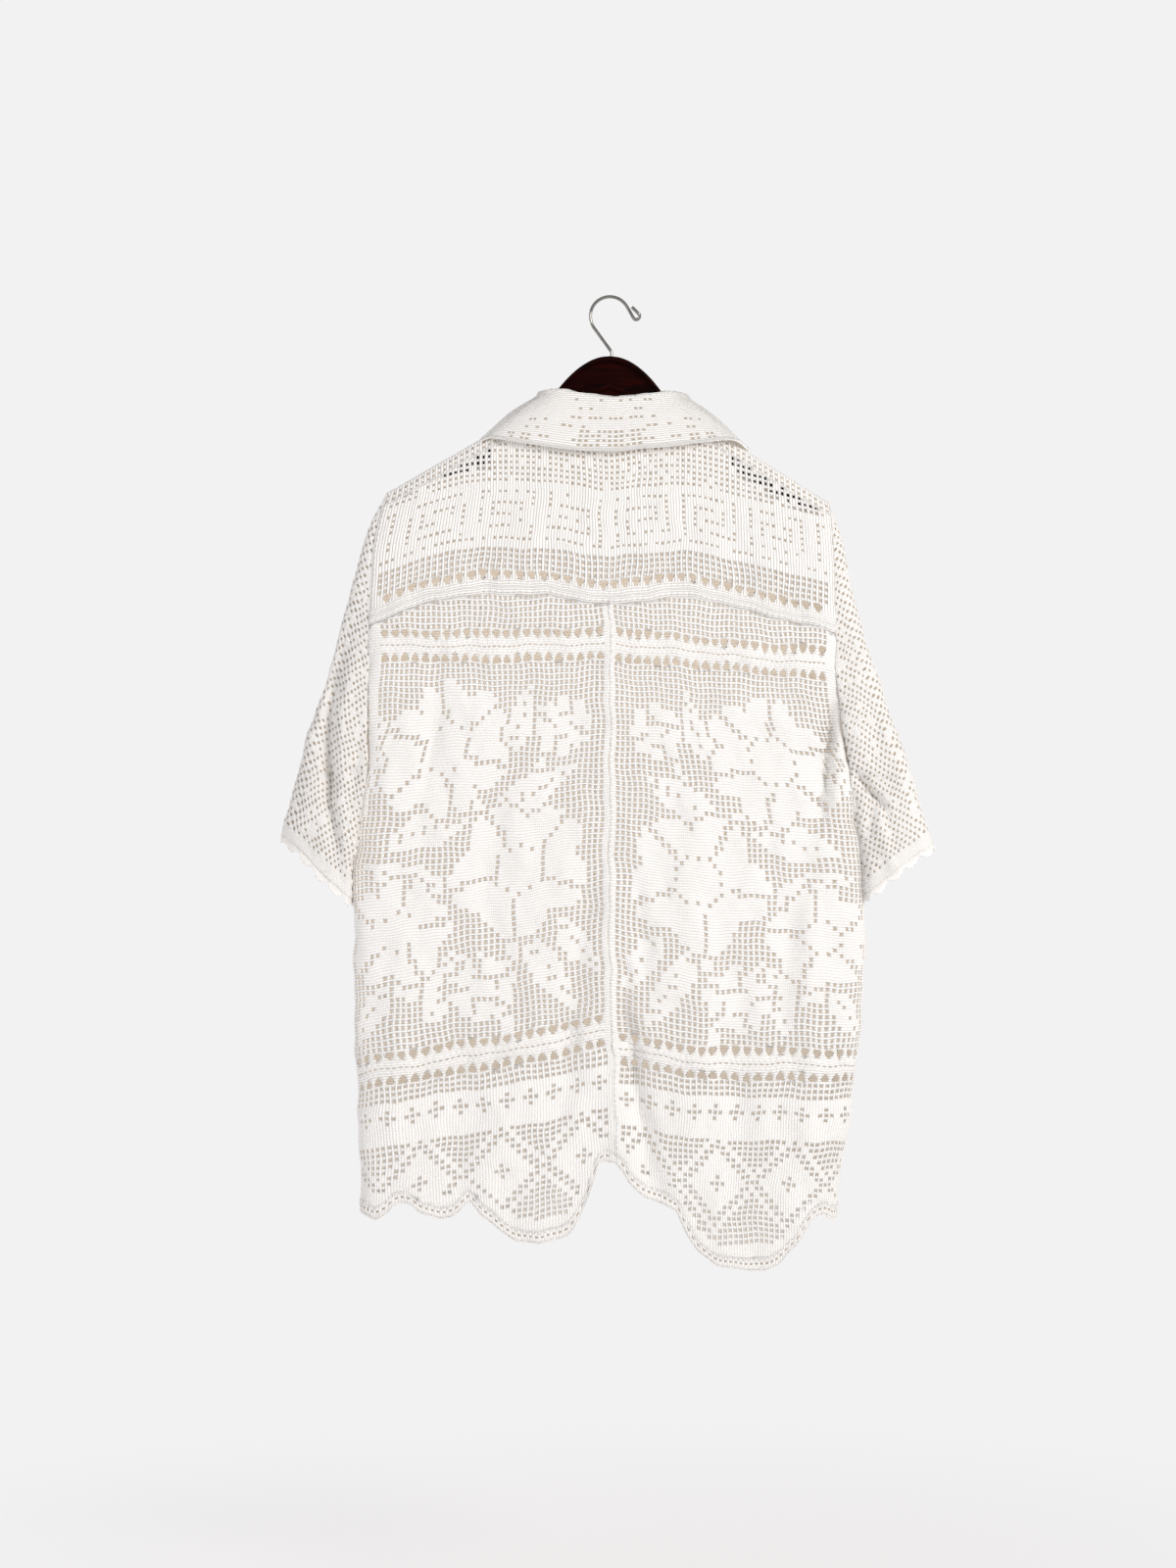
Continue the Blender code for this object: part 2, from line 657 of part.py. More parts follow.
def sleeve_grid(side, along, inset):
    """Rings of a sleeve from its armhole to its cuff: down the back and up the front."""
    even = np.linspace(0, 1, SLEEVE_STEPS + 1)
    q = lerp(even, (1 - np.cos(math.pi * even)) / 2, 0.7)
    rings = []
    for a in along:
        length = math.dist(*np.transpose(sleeve_plane(side, a, np.array([0.0, 1.0]))))
        shrink = inset / length
        ring = []
        for face, qs in ((BACK, q), (FRONT, q[-2:0:-1])):
            x, drop = sleeve_plane(side, a, qs)
            depth = sleeve_depth(side, x, drop, face)
            full = lerp(RIM_DEPTH[face], SLEEVE_FULLNESS[face], a * a)
            depth = np.maximum(depth * (1 - inset / full), 0)
            depth[(qs == 0) | (qs == 1)] = 0
            x, drop = sleeve_plane(side, a, shrink + (1 - 2 * shrink) * qs)
            ring.append(np.stack([x, face * depth, -drop], axis=-1))
        rings.append(np.concatenate(ring))
    return np.array(rings)


def make_sleeve(name, side, cotton):
    outer = sleeve_grid(side, SLEEVE_RINGS, 0.0)
    inner = sleeve_grid(side, SLEEVE_RINGS, WALL)
    return wall_piece(name, outer, inner, cotton, closed=True)


def hang(x, drop):
    """From the hanger's own frame to the part's: a turn about the nail."""
    turn = HANGER_TILT
    return x * math.cos(turn) - drop * math.sin(turn), drop * math.cos(turn) + x * math.sin(turn)


def neck_edge(side, face):
    """The middle of the wall's edge round the neck, point by point as the panels have it."""
    if face == BACK:
        s = np.linspace(-1, 1, YOKE_COLUMNS)
        points = body_point(s, top_drop(s, BACK), BACK, WALL / 2)
    else:
        s = side * front_columns(side)
        points = front_grid(side, top_drop(s, FRONT), s, WALL / 2)
    return points[np.argsort(points[:, 0])]


def collar_paths():
    """The middle of the collar's wall at stations from one front end round to the other."""
    stations = np.arange(len(COLLAR["neck"]), dtype=float)
    at = np.linspace(0, len(stations) - 1, COLLAR_STATIONS)
    row = {name: smooth(at, stations, values) for name, values in COLLAR.items()}
    paths = []
    for side in (LEFT, RIGHT):
        half = []
        for k in range(len(at)):
            face = BACK if row["face"][k] <= 0 else FRONT
            neck_x = NECK_X + side * NECK_WIDTH * min(row["neck"][k], 1)
            x, y, z = neck_edge(side, face).T
            spots = [(neck_x, np.interp(neck_x, x, y), -np.interp(neck_x, x, z) - COLLAR_SEAM[face])]
            if abs(row["face"][k]) < AT_SHOULDER:
                spots = [(neck_x, 0.0, float(shoulder(neck_x)) - COLLAR_SEAM[FRONT])]
            lift = COLLAR_LIFT * (side == RIGHT)
            for part, raised in (("fold", 0.0), ("fall", FALL_LIFT * lift), ("edge", lift)):
                x, low = hang(COLLAR_X + side * row[part + "_x"][k], row[part][k])
                spots.append((x, row[part + "_y"][k], low - raised))
            neck, fold, fall, edge = (np.array(p) for p in spots)
            out = np.array([edge[0] - fold[0], edge[1] - fold[1], 0.0])
            out /= np.linalg.norm(out)
            foot = np.array([0, 0, FOLD_FOOT])
            before, after = fold - COLLAR_FOLD * out + foot, fold + COLLAR_FOLD * out + foot
            share, crest = FOLD_CREST
            aside, crest = share * COLLAR_FOLD * out, np.array([0, 0, crest])
            turn_in, turn_out = fold - aside + crest, fold + aside + crest
            path = [neck, lerp(neck, before, 0.5), before, turn_in, turn_out, after]
            path += [lerp(after, fall, 0.5), fall, lerp(fall, edge, 0.5), edge]
            half.append(np.array(path))
        paths.append(half)
    left, right = paths
    return np.array(left[::-1] + right[1:])


def make_collar(cotton):
    """A folded wall: a stand on the neck's edge and a fall over the yoke and the shoulders."""
    middle = collar_paths()
    along = np.gradient(middle, axis=0)
    down = np.gradient(middle, axis=1)
    normal = np.cross(along, down)
    normal /= np.linalg.norm(normal, axis=-1, keepdims=True)
    walls = []
    for sign in (1, -1):
        points = middle + sign * WALL / 2 * normal
        points[..., 2] *= -1
        walls.append(points)
    return wall_piece("collar", walls[0], walls[1], cotton)


def make_hanger_wood(lacquer):
    """Rounded sections along the wood, from one end to the other."""
    mesh = bmesh.new()
    reach = np.concatenate([-HANGER["reach"][:0:-1], HANGER["reach"]])
    rings = []
    for x in reach:
        top, low = (np.interp(abs(x), HANGER["reach"], HANGER[key]) for key in ("top", "bottom"))
        half = np.interp(abs(x), HANGER["reach"], HANGER["thickness"]) / 2
        round_edge = min(WOOD_CORNER, (low - top) / 2.2, 0.9 * half)
        spots = []
        for sy, sz, order in ((-1, -1, 1), (1, -1, -1), (1, 1, 1), (-1, 1, -1)):
            turn = ((0.0, 1.0), (0.3, 0.3), (1.0, 0.0))[::order]
            for cy, cz in turn:
                y = sy * (half - round_edge * cy)
                z = (low - round_edge * cz) if sz > 0 else (top + round_edge * cz)
                px, pd = hang(x, z)
                spots.append(mesh.verts.new((px * MM, y * MM, -pd * MM)))
        rings.append(spots)
    count = len(rings[0])
    for a, b in zip(rings, rings[1:]):
        for k in range(count):
            n = (k + 1) % count
            mesh.faces.new((a[k], a[n], b[n], b[k]))
    for ring in (rings[0], rings[-1]):
        mesh.faces.new(ring)
    return finish_piece("hanger_wood", mesh, lacquer, sharp=40)


# The hook's wire from the wood to its tip: straight runs by length, bends by radius and turn in
# degrees (to the left when positive), and how far the wire moves aside on the way.
HOOK = (
    {"run": 2.0},
    {"radius": 6.0, "turn": 36},
    {"run": 27.85},
    {"radius": HOOK_ROUND, "turn": -186},
    {"run": 13.5},
    {"radius": HOOK_CURL, "turn": 195, "aside": HOOK_ASIDE},
    {"run": 9.5},
)
HOOK_STEP = 13  # degrees of a bend to each straight piece of the wire


def hook_path():
    x, y, drop, heading = 0.0, 0.0, HANGER["top"][0] - GAP, 90.0
    points = [(x, y, drop)]
    for part in HOOK:
        turn = part.get("turn", 0)
        steps = max(1, round(abs(turn) / HOOK_STEP))
        chord = 2 * part.get("radius", 0) * math.sin(math.radians(abs(turn) / steps) / 2)
        length = part.get("run", chord)
        for _ in range(steps):
            heading += turn / steps / 2
            x += length * math.cos(math.radians(heading))
            drop -= length * math.sin(math.radians(heading))
            y -= part.get("aside", 0) / steps
            heading += turn / steps / 2
            points.append((x, y, drop))
    return points


def make_hook(steel):
    """A round wire swept along the hook's path; its tip turns back beside the wire."""
    path = hook_path()
    curve = bpy.data.curves.new("hanger_hook", "CURVE")
    curve.dimensions = "3D"
    curve.bevel_depth = HOOK_WIRE / 2 * MM
    curve.bevel_resolution = 2
    curve.use_fill_caps = True
    spline = curve.splines.new("POLY")
    spline.points.add(len(path) - 1)
    for point, (x, y, drop) in zip(spline.points, path):
        point.co = (x * MM, y * MM, -drop * MM, 1.0)
    curve.materials.append(steel)
    hook = bpy.data.objects.new("hanger_hook", curve)
    bpy.context.scene.collection.objects.link(hook)
    return hook


def make_buttons(shell):
    """Flat buttons with a sunk middle, on the outside of the lap."""
    profile = ((0.0, 0.0), (1.0, 0.0), (1.0, 0.8), (0.8, 1.0), (0.62, 0.8), (0.0, 0.8))
    for number, drop in enumerate(BUTTON_DROPS, 1):
        x, y, _ = body_point(np.array(CENTRE_OFF), np.array(drop), FRONT)
        base = y + BUTTON_STANDS_OFF
        mesh = bmesh.new()
        rings = []
        for radius, height in profile:
            turns = range(BUTTON_SIDES) if radius else (0,)
            ring = []
            for k in turns:
                angle = 2 * math.pi * k / BUTTON_SIDES
                px = x + BUTTON_RADIUS * radius * math.cos(angle)
                pz = -drop + BUTTON_RADIUS * radius * math.sin(angle)
                ring.append(mesh.verts.new((px * MM, (base + BUTTON_THICKNESS * height) * MM, pz * MM)))
            rings.append(ring)
        for a, b in zip(rings, rings[1:]):
            for k in range(BUTTON_SIDES):
                n = (k + 1) % BUTTON_SIDES
                corners = [a[k % len(a)], a[n % len(a)], b[n % len(b)], b[k % len(b)]]
                mesh.faces.new(list(dict.fromkeys(corners)))
        finish_piece(f"button_{number}", mesh, shell)


def main():
    for old in list(bpy.data.objects):
        bpy.data.objects.remove(old)
    cotton = material("ivory cotton crochet", (0.86, 0.83, 0.77), 0.9)
    lacquer = material("lacquered walnut", (0.035, 0.012, 0.006), 0.25)
    steel = material("polished steel wire", (0.62, 0.62, 0.62), 0.2, 1.0)
    shell = material("pearl button", (0.80, 0.76, 0.68), 0.3)
    make_hanger_wood(lacquer)
    make_hook(steel)
    make_yoke(cotton)
    make_lower_back("back_left", LEFT, 20, cotton)
    make_lower_back("back_right", RIGHT, 21, cotton)
    make_front("front_left", LEFT, cotton)
    make_front("front_right", RIGHT, cotton)
    make_sleeve("sleeve_left", LEFT, cotton)
    make_sleeve("sleeve_right", RIGHT, cotton)
    make_collar(cotton)
    make_buttons(shell)


main()
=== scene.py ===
"""A filet crochet shirt hanging on its wooden hanger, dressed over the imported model.

Sizes are in millimetres and become metres where a mesh is made. The origin is where the hook bears
on its nail. The back of the shirt faces -Y, its front +Y, and +X is on the wearer's right. Heights
are given as drops below the nail, so z is minus the drop.

Every crocheted piece is a net: a grid of small cells over the piece's surface, each one open,
filled, an eyelet or a raised cluster of stitches, as its chart says.
"""

import math

import bmesh
import bpy
import numpy as np
from mathutils import Euler, Matrix, Vector


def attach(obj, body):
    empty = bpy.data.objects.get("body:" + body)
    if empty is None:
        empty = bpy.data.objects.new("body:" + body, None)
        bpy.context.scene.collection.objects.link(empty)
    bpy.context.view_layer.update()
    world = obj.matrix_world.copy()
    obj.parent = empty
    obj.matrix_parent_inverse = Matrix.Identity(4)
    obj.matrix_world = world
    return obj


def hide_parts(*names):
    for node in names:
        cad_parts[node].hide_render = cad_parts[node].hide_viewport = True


bl_info = {
    "name": "Crochet Shirt on a Hanger",
    "version": (1, 0, 0),
    "blender": (4, 5, 0),
    "location": "View3D > Sidebar > Crochet",
    "description": "Builds a filet crochet shirt, its buttons and the hanger that holds it",
    "category": "Object",
}

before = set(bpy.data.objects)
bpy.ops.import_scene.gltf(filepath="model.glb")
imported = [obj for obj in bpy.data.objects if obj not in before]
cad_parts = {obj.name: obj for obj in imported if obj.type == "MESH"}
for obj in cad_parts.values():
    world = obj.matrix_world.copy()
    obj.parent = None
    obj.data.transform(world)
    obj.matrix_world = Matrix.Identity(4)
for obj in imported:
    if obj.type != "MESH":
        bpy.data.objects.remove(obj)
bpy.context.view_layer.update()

MM = 0.001
WALL = 2.0  # thickness of the crocheted cloth
GAP = 0.3  # clearance between pieces at a seam
BACK, FRONT = -1, 1
LEFT, RIGHT = -1, 1


def table(columns, rows):
    """Names the columns of a short table of numbers."""
    return {name: np.array(values, float) for name, values in zip(columns.split(), zip(*rows))}


# --- the hanger ---

HANGER_TILT = math.radians(1.2)  # the wearer's right end hangs a little lower
ARM_ANGLE = math.atan(0.60)  # slope of the arms
ARM_APEX = 69.3  # drop where the lines of the two arms would meet
WOOD_CORNER = 5.5  # rounding of the wood's long edges
HANGER = table(
    "reach top bottom thickness",
    [
        (0, 57.8, 91.6, 13.0), (9, 58.8, 95.0, 13.0), (18, 61.9, 99.5, 13.0),
        (27, 67.1, 105.0, 13.0), (36, 74.3, 111.5, 13.0), (44, 82.5, 118.0, 13.0),
        (52, 92.3, 124.5, 13.0), (60, 103.0, 131.0, 12.4), (70, 111.3, 137.5, 12.4),
        (95, 126.3, 153.0, 12.6), (150, 159.3, 182.5, 12.6), (190, 183.5, 204.0, 12.0),
        (203, 192.2, 209.5, 10.0), (209, 198.0, 206.5, 6.0),
    ],
)
HOOK_WIRE = 3.3  # diameter of the hook's wire
HOOK_ROUND = 19.6  # radius of the round that bears on the nail
HOOK_CURL = 3.2  # radius of the turned-back tip
HOOK_ASIDE = 3.8  # how far the tip passes beside the wire

# --- the body ---

NECK_X = 2.0  # centre of the neck
NECK_WIDTH = 68.0  # half the width of the neck
NECK_DEPTH = 10.6  # how far the back of the neck stands off the hanger's mid plane
NECK_DROP = {BACK: 129.0, FRONT: 190.0}
NECK_CURVE = {BACK: 2.2, FRONT: 0.9}  # how the neck's edge bends from its middle to its corners
NECK_SQUARE = 6  # squareness of the neck's opening seen from above
NECK_LIFT = 8.0  # rise of the shoulder line beside the neck, under the collar
NECK_LIFT_WIDTH = 30.0  # and the width over which it fades out
SHOULDER_LEVEL = 200.0  # drop from which a column's place on the shoulder line is looked for
TOP_ROUNDS = 6  # rounds in which it is found
HEM_LEVEL = 900.0  # drop at which a column's place on the hem is taken
ARMHOLE_FADE = 60.0  # height over which the armhole's seam goes over to the side seam
CENTRE_OFF = 1e-6  # keeps the centre's points on their own side
TOP_ROUND = 13.0  # height over which the cloth rounds over the hanger
INSIDE_FADE = 1.5 * TOP_ROUND  # height over which the inner side lies lower than the outer one
YOKE_COLUMNS = 41  # points along the top of the back, where the collar is set on
NECK_COLUMNS = (0.25, 0.5, 0.72, 0.88, 0.97)  # those of a front inside the neck, by its width
FRONT_COLUMNS = 10  # and beyond it
PAST_CORNER = 0.01  # how far past the neck's corner the first of these is
SIDE_ROUND = 45.0  # width over which a panel rounds to the side seam
SIDE_POWER = 3.4  # squareness of that rounding
SLEEVE_POWER = 4.0  # and of the sleeve where it meets the body
RIM_DEPTH = {BACK: 15.0, FRONT: 13.0}  # how far the armhole stands off the mid plane
RIM_POWER = 2.4  # squareness of the armhole's and the sleeve's sections
ARMPIT = {LEFT: 471.0, RIGHT: 478.0}  # drop of the armpits
SHOULDER_END = {LEFT: -224.4, RIGHT: 216.3}  # where the shoulder line meets the sleeves

# Where the back and front panels end: the armhole seam down to the armpit, then the side seam.
EDGE = table(
    "drop left right",
    [
        (194, -224.4, 216.3), (222, -231.3, 218.4), (250, -237.0, 220.2), (290, -240.1, 221.5),
        (340, -241.1, 222.5), (390, -242.1, 224.6), (430, -243.0, 229.8), (470, -244.6, 237.5),
        (500, -250.5, 242.6), (525, -253.8, 246.4), (555, -256.8, 250.0), (585, -258.3, 252.5),
        (640, -257.4, 253.0), (730, -256.8, 249.0), (780, -254.4, 243.0), (830, -253.0, 237.0),
        (865, -251.6, 230.3), (915, -249.9, 224.4),
    ],
)
# Where the centre seam runs.
CENTRE = table(
    "drop x", [(300, -2.9), (390, -2.0), (680, -2.0), (740, 0.0), (800, 2.4), (865, 3.0)]
)
# How far the cloth stands off the mid plane.
DEPTH = table(
    "drop back front",
    [
        (90, 12.6, 12.6), (200, 13.2, 13.2), (260, 17.0, 15.0), (340, 22.0, 18.0),
        (470, 26.0, 21.0), (600, 29.0, 23.0), (750, 31.0, 25.0), (980, 33.0, 27.0),
    ],
)

# Courses that cross a panel, by their drop at the centre seam, a third and two thirds of the way
# out, and at the outer edge. The yoke seam is the yoke's lower edge; the bands are insertions.
COURSES = {
    "yoke seam": {LEFT: (307, 297, 300, 326), RIGHT: (307, 300, 316, 334)},
    "band 2": {LEFT: (345.5, 348.4, 348.4, 348.8), RIGHT: (346.5, 353.3, 361.0, 367.0)},
    "band 3": {LEFT: (728.6, 747.3, 761.0, 776.7), RIGHT: (746.3, 761.0, 763.0, 766.0)},
}
BAND_HALF = 7.0  # half the height of an insertion band
BAND_RAISE = 1.6  # how far its stitches stand proud
EYELET = 10.0  # height of the course of eyelets beside a band
RIDGE = 0.02  # half the width of the centre seam's ridge, in the width of a panel
RIDGE_RAISE = 1.8  # and how far it stands proud

# The lower edge of the back, from the side seam to the notch at the centre and out again.
HEM = {
    LEFT: table(
        "x drop",
        [
            (-252, 909), (-235, 917), (-225, 912), (-214, 901), (-200, 901), (-190, 912),
            (-171, 917), (-156, 912), (-142, 896), (-131, 912), (-111, 927), (-95, 937), (-72, 940),
            (-53, 937), (-41, 930), (-31, 914), (-23, 895), (-15, 866), (-11, 857), (4, 862),
        ],
    ),
    RIGHT: table(
        "x drop",
        [
            (2, 862), (10, 868), (19, 885), (30, 894), (49, 901), (64, 909), (71, 923), (87, 950),
            (103, 961), (130, 967), (152, 967), (167, 959), (181, 945), (190, 930), (201, 916),
            (211, 912), (222, 919), (228, 910),
        ],
    ),
}
FRONT_HEM_LIFT = 9.0  # the fronts end this much above the back

# Soft folds that run down the cloth. x is at the top, the middle and the lower end of a fold, and
# a positive depth goes into the hollow.
FOLD_COLUMNS = "top low x_top x_middle x_low width depth"
FOLD_ENDS = 0.8  # how softly a fold runs out at its ends
FOLD_EDGE = 6  # and how close to the side seam the folds of the body reach
FOLDS = {
    BACK: table(
        FOLD_COLUMNS,
        [
            (366, 548, 221, 215, 196, 8, 13), (520, 760, 200, 178, 161, 15, 7),
            (350, 500, -175, -174, -177, 13, 5), (450, 700, -111, -114, -109, 15, 5),
            (455, 610, -233, -244, -249, 9, 6), (690, 905, 12, 26, 48, 11, 13),
            (660, 840, -36, -41, -53, 11, 8), (560, 700, -20, -27, -34, 9, 5),
            (560, 720, 22, 30, 36, 9, 5), (590, 900, -205, -210, -203, 16, -5),
            (640, 910, -148, -150, -152, 18, 5), (400, 860, 78, 84, 80, 20, -4),
            (620, 940, 118, 124, 130, 17, 6), (560, 880, 190, 196, 192, 14, -5),
            (210, 320, -120, -128, -124, 18, 3), (215, 330, 120, 130, 138, 18, 3),
            (335, 545, -168, -178, -196, 6, 3.5), (385, 540, 219, 214, 207, 5, 8),
            (600, 830, 9, 17, 33, 6, 5), (500, 660, -130, -126, -121, 7, 2.5),
            (480, 640, 150, 158, 163, 8, 3),
        ],
    ),
    FRONT: table(
        FOLD_COLUMNS,
        [
            (250, 560, -170, -176, -182, 18, 5), (420, 860, -95, -102, -98, 20, 6),
            (560, 880, -205, -203, -208, 16, -5), (250, 540, 160, 168, 176, 18, 5),
            (430, 880, 92, 96, 104, 20, 6), (600, 880, 188, 194, 190, 15, -5),
        ],
    ),
}

# --- sleeves, collar and buttons ---

# The sleeve's outer outline, from the armhole to the cuff.
SLEEVE = {
    LEFT: table(
        "x drop",
        [
            (-224.4, 194.5), (-241.0, 226.0), (-256.8, 277.8), (-279.3, 364.0), (-306.7, 448.4),
            (-329.3, 534.6),
        ],
    ),
    RIGHT: table(
        "x drop",
        [
            (216.3, 203.9), (230.3, 240.0), (240.6, 291.6), (264.6, 373.9), (294.0, 458.2),
            (320.5, 542.4),
        ],
    ),
}
CUFF_INNER = {LEFT: 605.0, RIGHT: 597.0}  # drop of the cuff's inner end
SLEEVE_FULLNESS = {BACK: 34.0, FRONT: 30.0}  # how deep the sleeve is at its cuff
SLEEVE_OPENS = (335, 595)  # drops over which a sleeve fills out
SLEEVE_NARROWEST = 0.5  # least width that its section is worked out for
CROWN_NARROWS = (330, 440)  # drops over which its fullest place moves from the seam to the middle
UNDERARM = {BACK: 18.5, FRONT: 16.5}  # how far a sleeve stands off the mid plane under the arm
UNDERARM_OPENS = (-48, 2)  # drops, counted from the armpit, over which it comes to that
UNDERARM_SINKS = 0.45  # share of that lost by the wearer's left sleeve towards its cuff
UNDERARM_LOW = (520, 590)  # drops over which it is lost
CREASED_LEAST = 6.0  # a crease stops this far off the mid plane
ARMHOLE_GAP = 0.2  # space between a sleeve and the edge of the panels along the armhole
SLEEVE_CLEAR = -4.0  # and below it, where the sleeve's inner edge hides behind the body
ARMHOLE_ENDS = (-20, 20)  # drops, counted from the armpit, from the one space to the other
SLEEVE_FOLDS = {
    LEFT: table(
        FOLD_COLUMNS,
        [
            (322, 602, -263, -281, -260, 7.0, 15), (330, 590, -246, -270, -252, 9, -5),
            (400, 560, -247, -253, -257, 6, 8), (430, 540, -300, -303, -308, 10, -4),
        ],
    ),
    RIGHT: table(
        FOLD_COLUMNS,
        [
            (462, 514, 236, 252, 278, 4.5, 13), (486, 545, 258, 258, 252, 5, 6),
            (495, 570, 266, 276, 282, 5, 5), (510, 580, 262, 272, 284, 10, -5),
            (360, 480, 250, 262, 272, 12, 4),
        ],
    ),
}

# Half of the collar, from the centre of the back round to the front, in the hanger's own frame.
# neck is a fraction of the neck's half width, x and y are across and in depth, and the wall's
# middle runs from the neck over the fold and the fall to the free edge.
COLLAR_X = 4.0  # the shirt hangs this much to the right of the hook
COLLAR = table(
    "neck face fold_x fold_y fold fall_x fall_y fall edge_x edge_y edge",
    [
        (0.00, -1, 0, -13.0, 99.5, 0, -19.0, 125.0, 0, -22.0, 155.0),
        (0.35, -1, 25, -13.0, 97.0, 30, -19.0, 124.6, 37, -22.0, 155.0),
        (0.70, -1, 52, -12.5, 92.8, 66, -18.5, 119.5, 76, -21.8, 150.5),
        (0.93, -1, 66, -9.2, 93.6, 89, -15.0, 118.0, 108, -20.4, 146.0),
        (0.99, -1, 72, -4.0, 96.5, 99, -9.0, 119.5, 125, -16.4, 144.5),
        (1.00, 0, 72, 0.0, 96.0, 103, 0.0, 118.0, 136, 0.0, 149.0),
        (0.99, 1, 72, 6.0, 92.4, 103, 12.0, 117.0, 135, 17.0, 147.0),
        (0.93, 1, 67, 12.5, 95.0, 99, 17.6, 128.0, 131, 21.0, 171.0),
        (0.70, 1, 50, 15.6, 117.0, 82, 19.4, 152.0, 116, 22.0, 194.0),
        (0.35, 1, 28, 15.6, 150.0, 60, 19.4, 185.0, 94, 22.4, 220.0),
        (0.16, 1, 14, 15.6, 168.0, 44, 20.0, 204.0, 77, 23.0, 240.0),
    ],
)
COLLAR_SEAM = {BACK: 2.8, FRONT: 3.2}  # clearance above the neck's edge, where the stand leans out
COLLAR_FOLD = 3.0  # half the spread of the collar's fold
FOLD_FOOT = 4.0  # how far below its crest the fold is that wide
FOLD_CREST = (0.6, 1.1)  # share of the spread and drop of the points beside the crest
AT_SHOULDER = 0.01  # the station that belongs to neither the back nor the front
COLLAR_LIFT = 4.0  # how much higher the free edge lies on the wearer's right
LIFT_FADES = (3, 5)  # rows of the table over which that fades out
FALL_LIFT = 0.4  # share of that in the middle of the fall

LAP = 12.0  # how far each front passes the centre
LAP_REST = 3.0  # width beyond the lap from which the under front steps down below the other
LAP_FADE = 32.0  # and over which it does
LAP_GAP = 1.7  # space between the two at the lap
BUTTON_DROPS = (262.0, 380.0, 498.0, 616.0)
BUTTON_RADIUS = 5.5
BUTTON_THICKNESS = 2.4
BUTTON_STANDS_OFF = 0.7  # the wall is a little curved under each button


def smooth(x, xs, ys):
    """A smooth curve through the rows of a table, level past its ends."""
    slope = np.gradient(ys, xs)
    x = np.clip(x, xs[0], xs[-1])
    i = np.clip(np.searchsorted(xs, x, side="right") - 1, 0, len(xs) - 2)
    step = xs[i + 1] - xs[i]
    t = (x - xs[i]) / step
    start = (1 + 2 * t) * (1 - t) ** 2 * ys[i] + t * (1 - t) ** 2 * step * slope[i]
    return start + t * t * (3 - 2 * t) * ys[i + 1] + t * t * (t - 1) * step * slope[i + 1]


def lerp(a, b, t):
    return a + (b - a) * t


def ease(t):
    """Goes softly from 0 to 1."""
    t = np.clip(t, 0, 1)
    return t * t * (3 - 2 * t)


def ease_between(x, limits):
    return ease((x - limits[0]) / (limits[1] - limits[0]))


def squared(t, power):
    """A bump over t from -1 to 1, rounder or squarer by its power."""
    return (1 - np.minimum(np.abs(t), 1) ** power) ** (1 / power)


# --- shape of the cloth ---


def shoulder(x):
    """Drop of the cloth where it lies over the hanger's arm."""
    angle = ARM_ANGLE + np.sign(x) * HANGER_TILT
    apex = ARM_APEX * math.cos(ARM_ANGLE) / np.cos(angle)
    lift = NECK_LIFT * ease((NECK_WIDTH + NECK_LIFT_WIDTH - np.abs(x - NECK_X)) / NECK_LIFT_WIDTH)
    return apex + np.tan(angle) * np.abs(x) - WALL - GAP - lift


def neckline(x, face):
    """Drop and depth of the neck's edge, or of the shoulder line beyond it."""
    across = np.abs(x - NECK_X) / NECK_WIDTH
    inside = across < 1
    side = shoulder(NECK_X + np.sign(x - NECK_X) * NECK_WIDTH)
    within = np.minimum(across, 1)
    rise = (1 - within) ** NECK_CURVE[face] if face == FRONT else 1 - within ** NECK_CURVE[face]
    drop = np.where(inside, side + (NECK_DROP[face] - side) * rise, shoulder(x))
    return drop, np.where(inside, NECK_DEPTH * squared(across, NECK_SQUARE), 0)


def edge_x(drop, side):
    left = smooth(drop, EDGE["drop"], EDGE["left"])
    return np.where(side < 0, left, smooth(drop, EDGE["drop"], EDGE["right"]))


def rim_depth(drop, side, face, inset):
    """How far the armhole's seam stands off the mid plane at a drop."""
    top = np.where(side < 0, shoulder(SHOULDER_END[LEFT]), shoulder(SHOULDER_END[RIGHT]))
    pit = np.where(side < 0, ARMPIT[LEFT], ARMPIT[RIGHT])
    down = np.clip((drop - top - inset) / (pit - top - 2 * inset), 0, 1)
    return (RIM_DEPTH[face] - inset) * squared(2 * down - 1, RIM_POWER)


def fold_depth(x, drop, folds):
    """Sum of the folds at each point: each fades out at its ends and to its sides."""
    total = np.zeros(np.broadcast(x, drop).shape)
    for top, low, x_top, x_middle, x_low, width, depth in zip(*folds.values()):
        t = np.clip((drop - top) / (low - top), 0, 1)
        path = x_top * (1 - t) * (1 - 2 * t) + x_middle * 4 * t * (1 - t) + x_low * t * (2 * t - 1)
        total += depth * np.sin(math.pi * t) ** FOLD_ENDS * np.exp(-(((x - path) / width) ** 2))
    return total


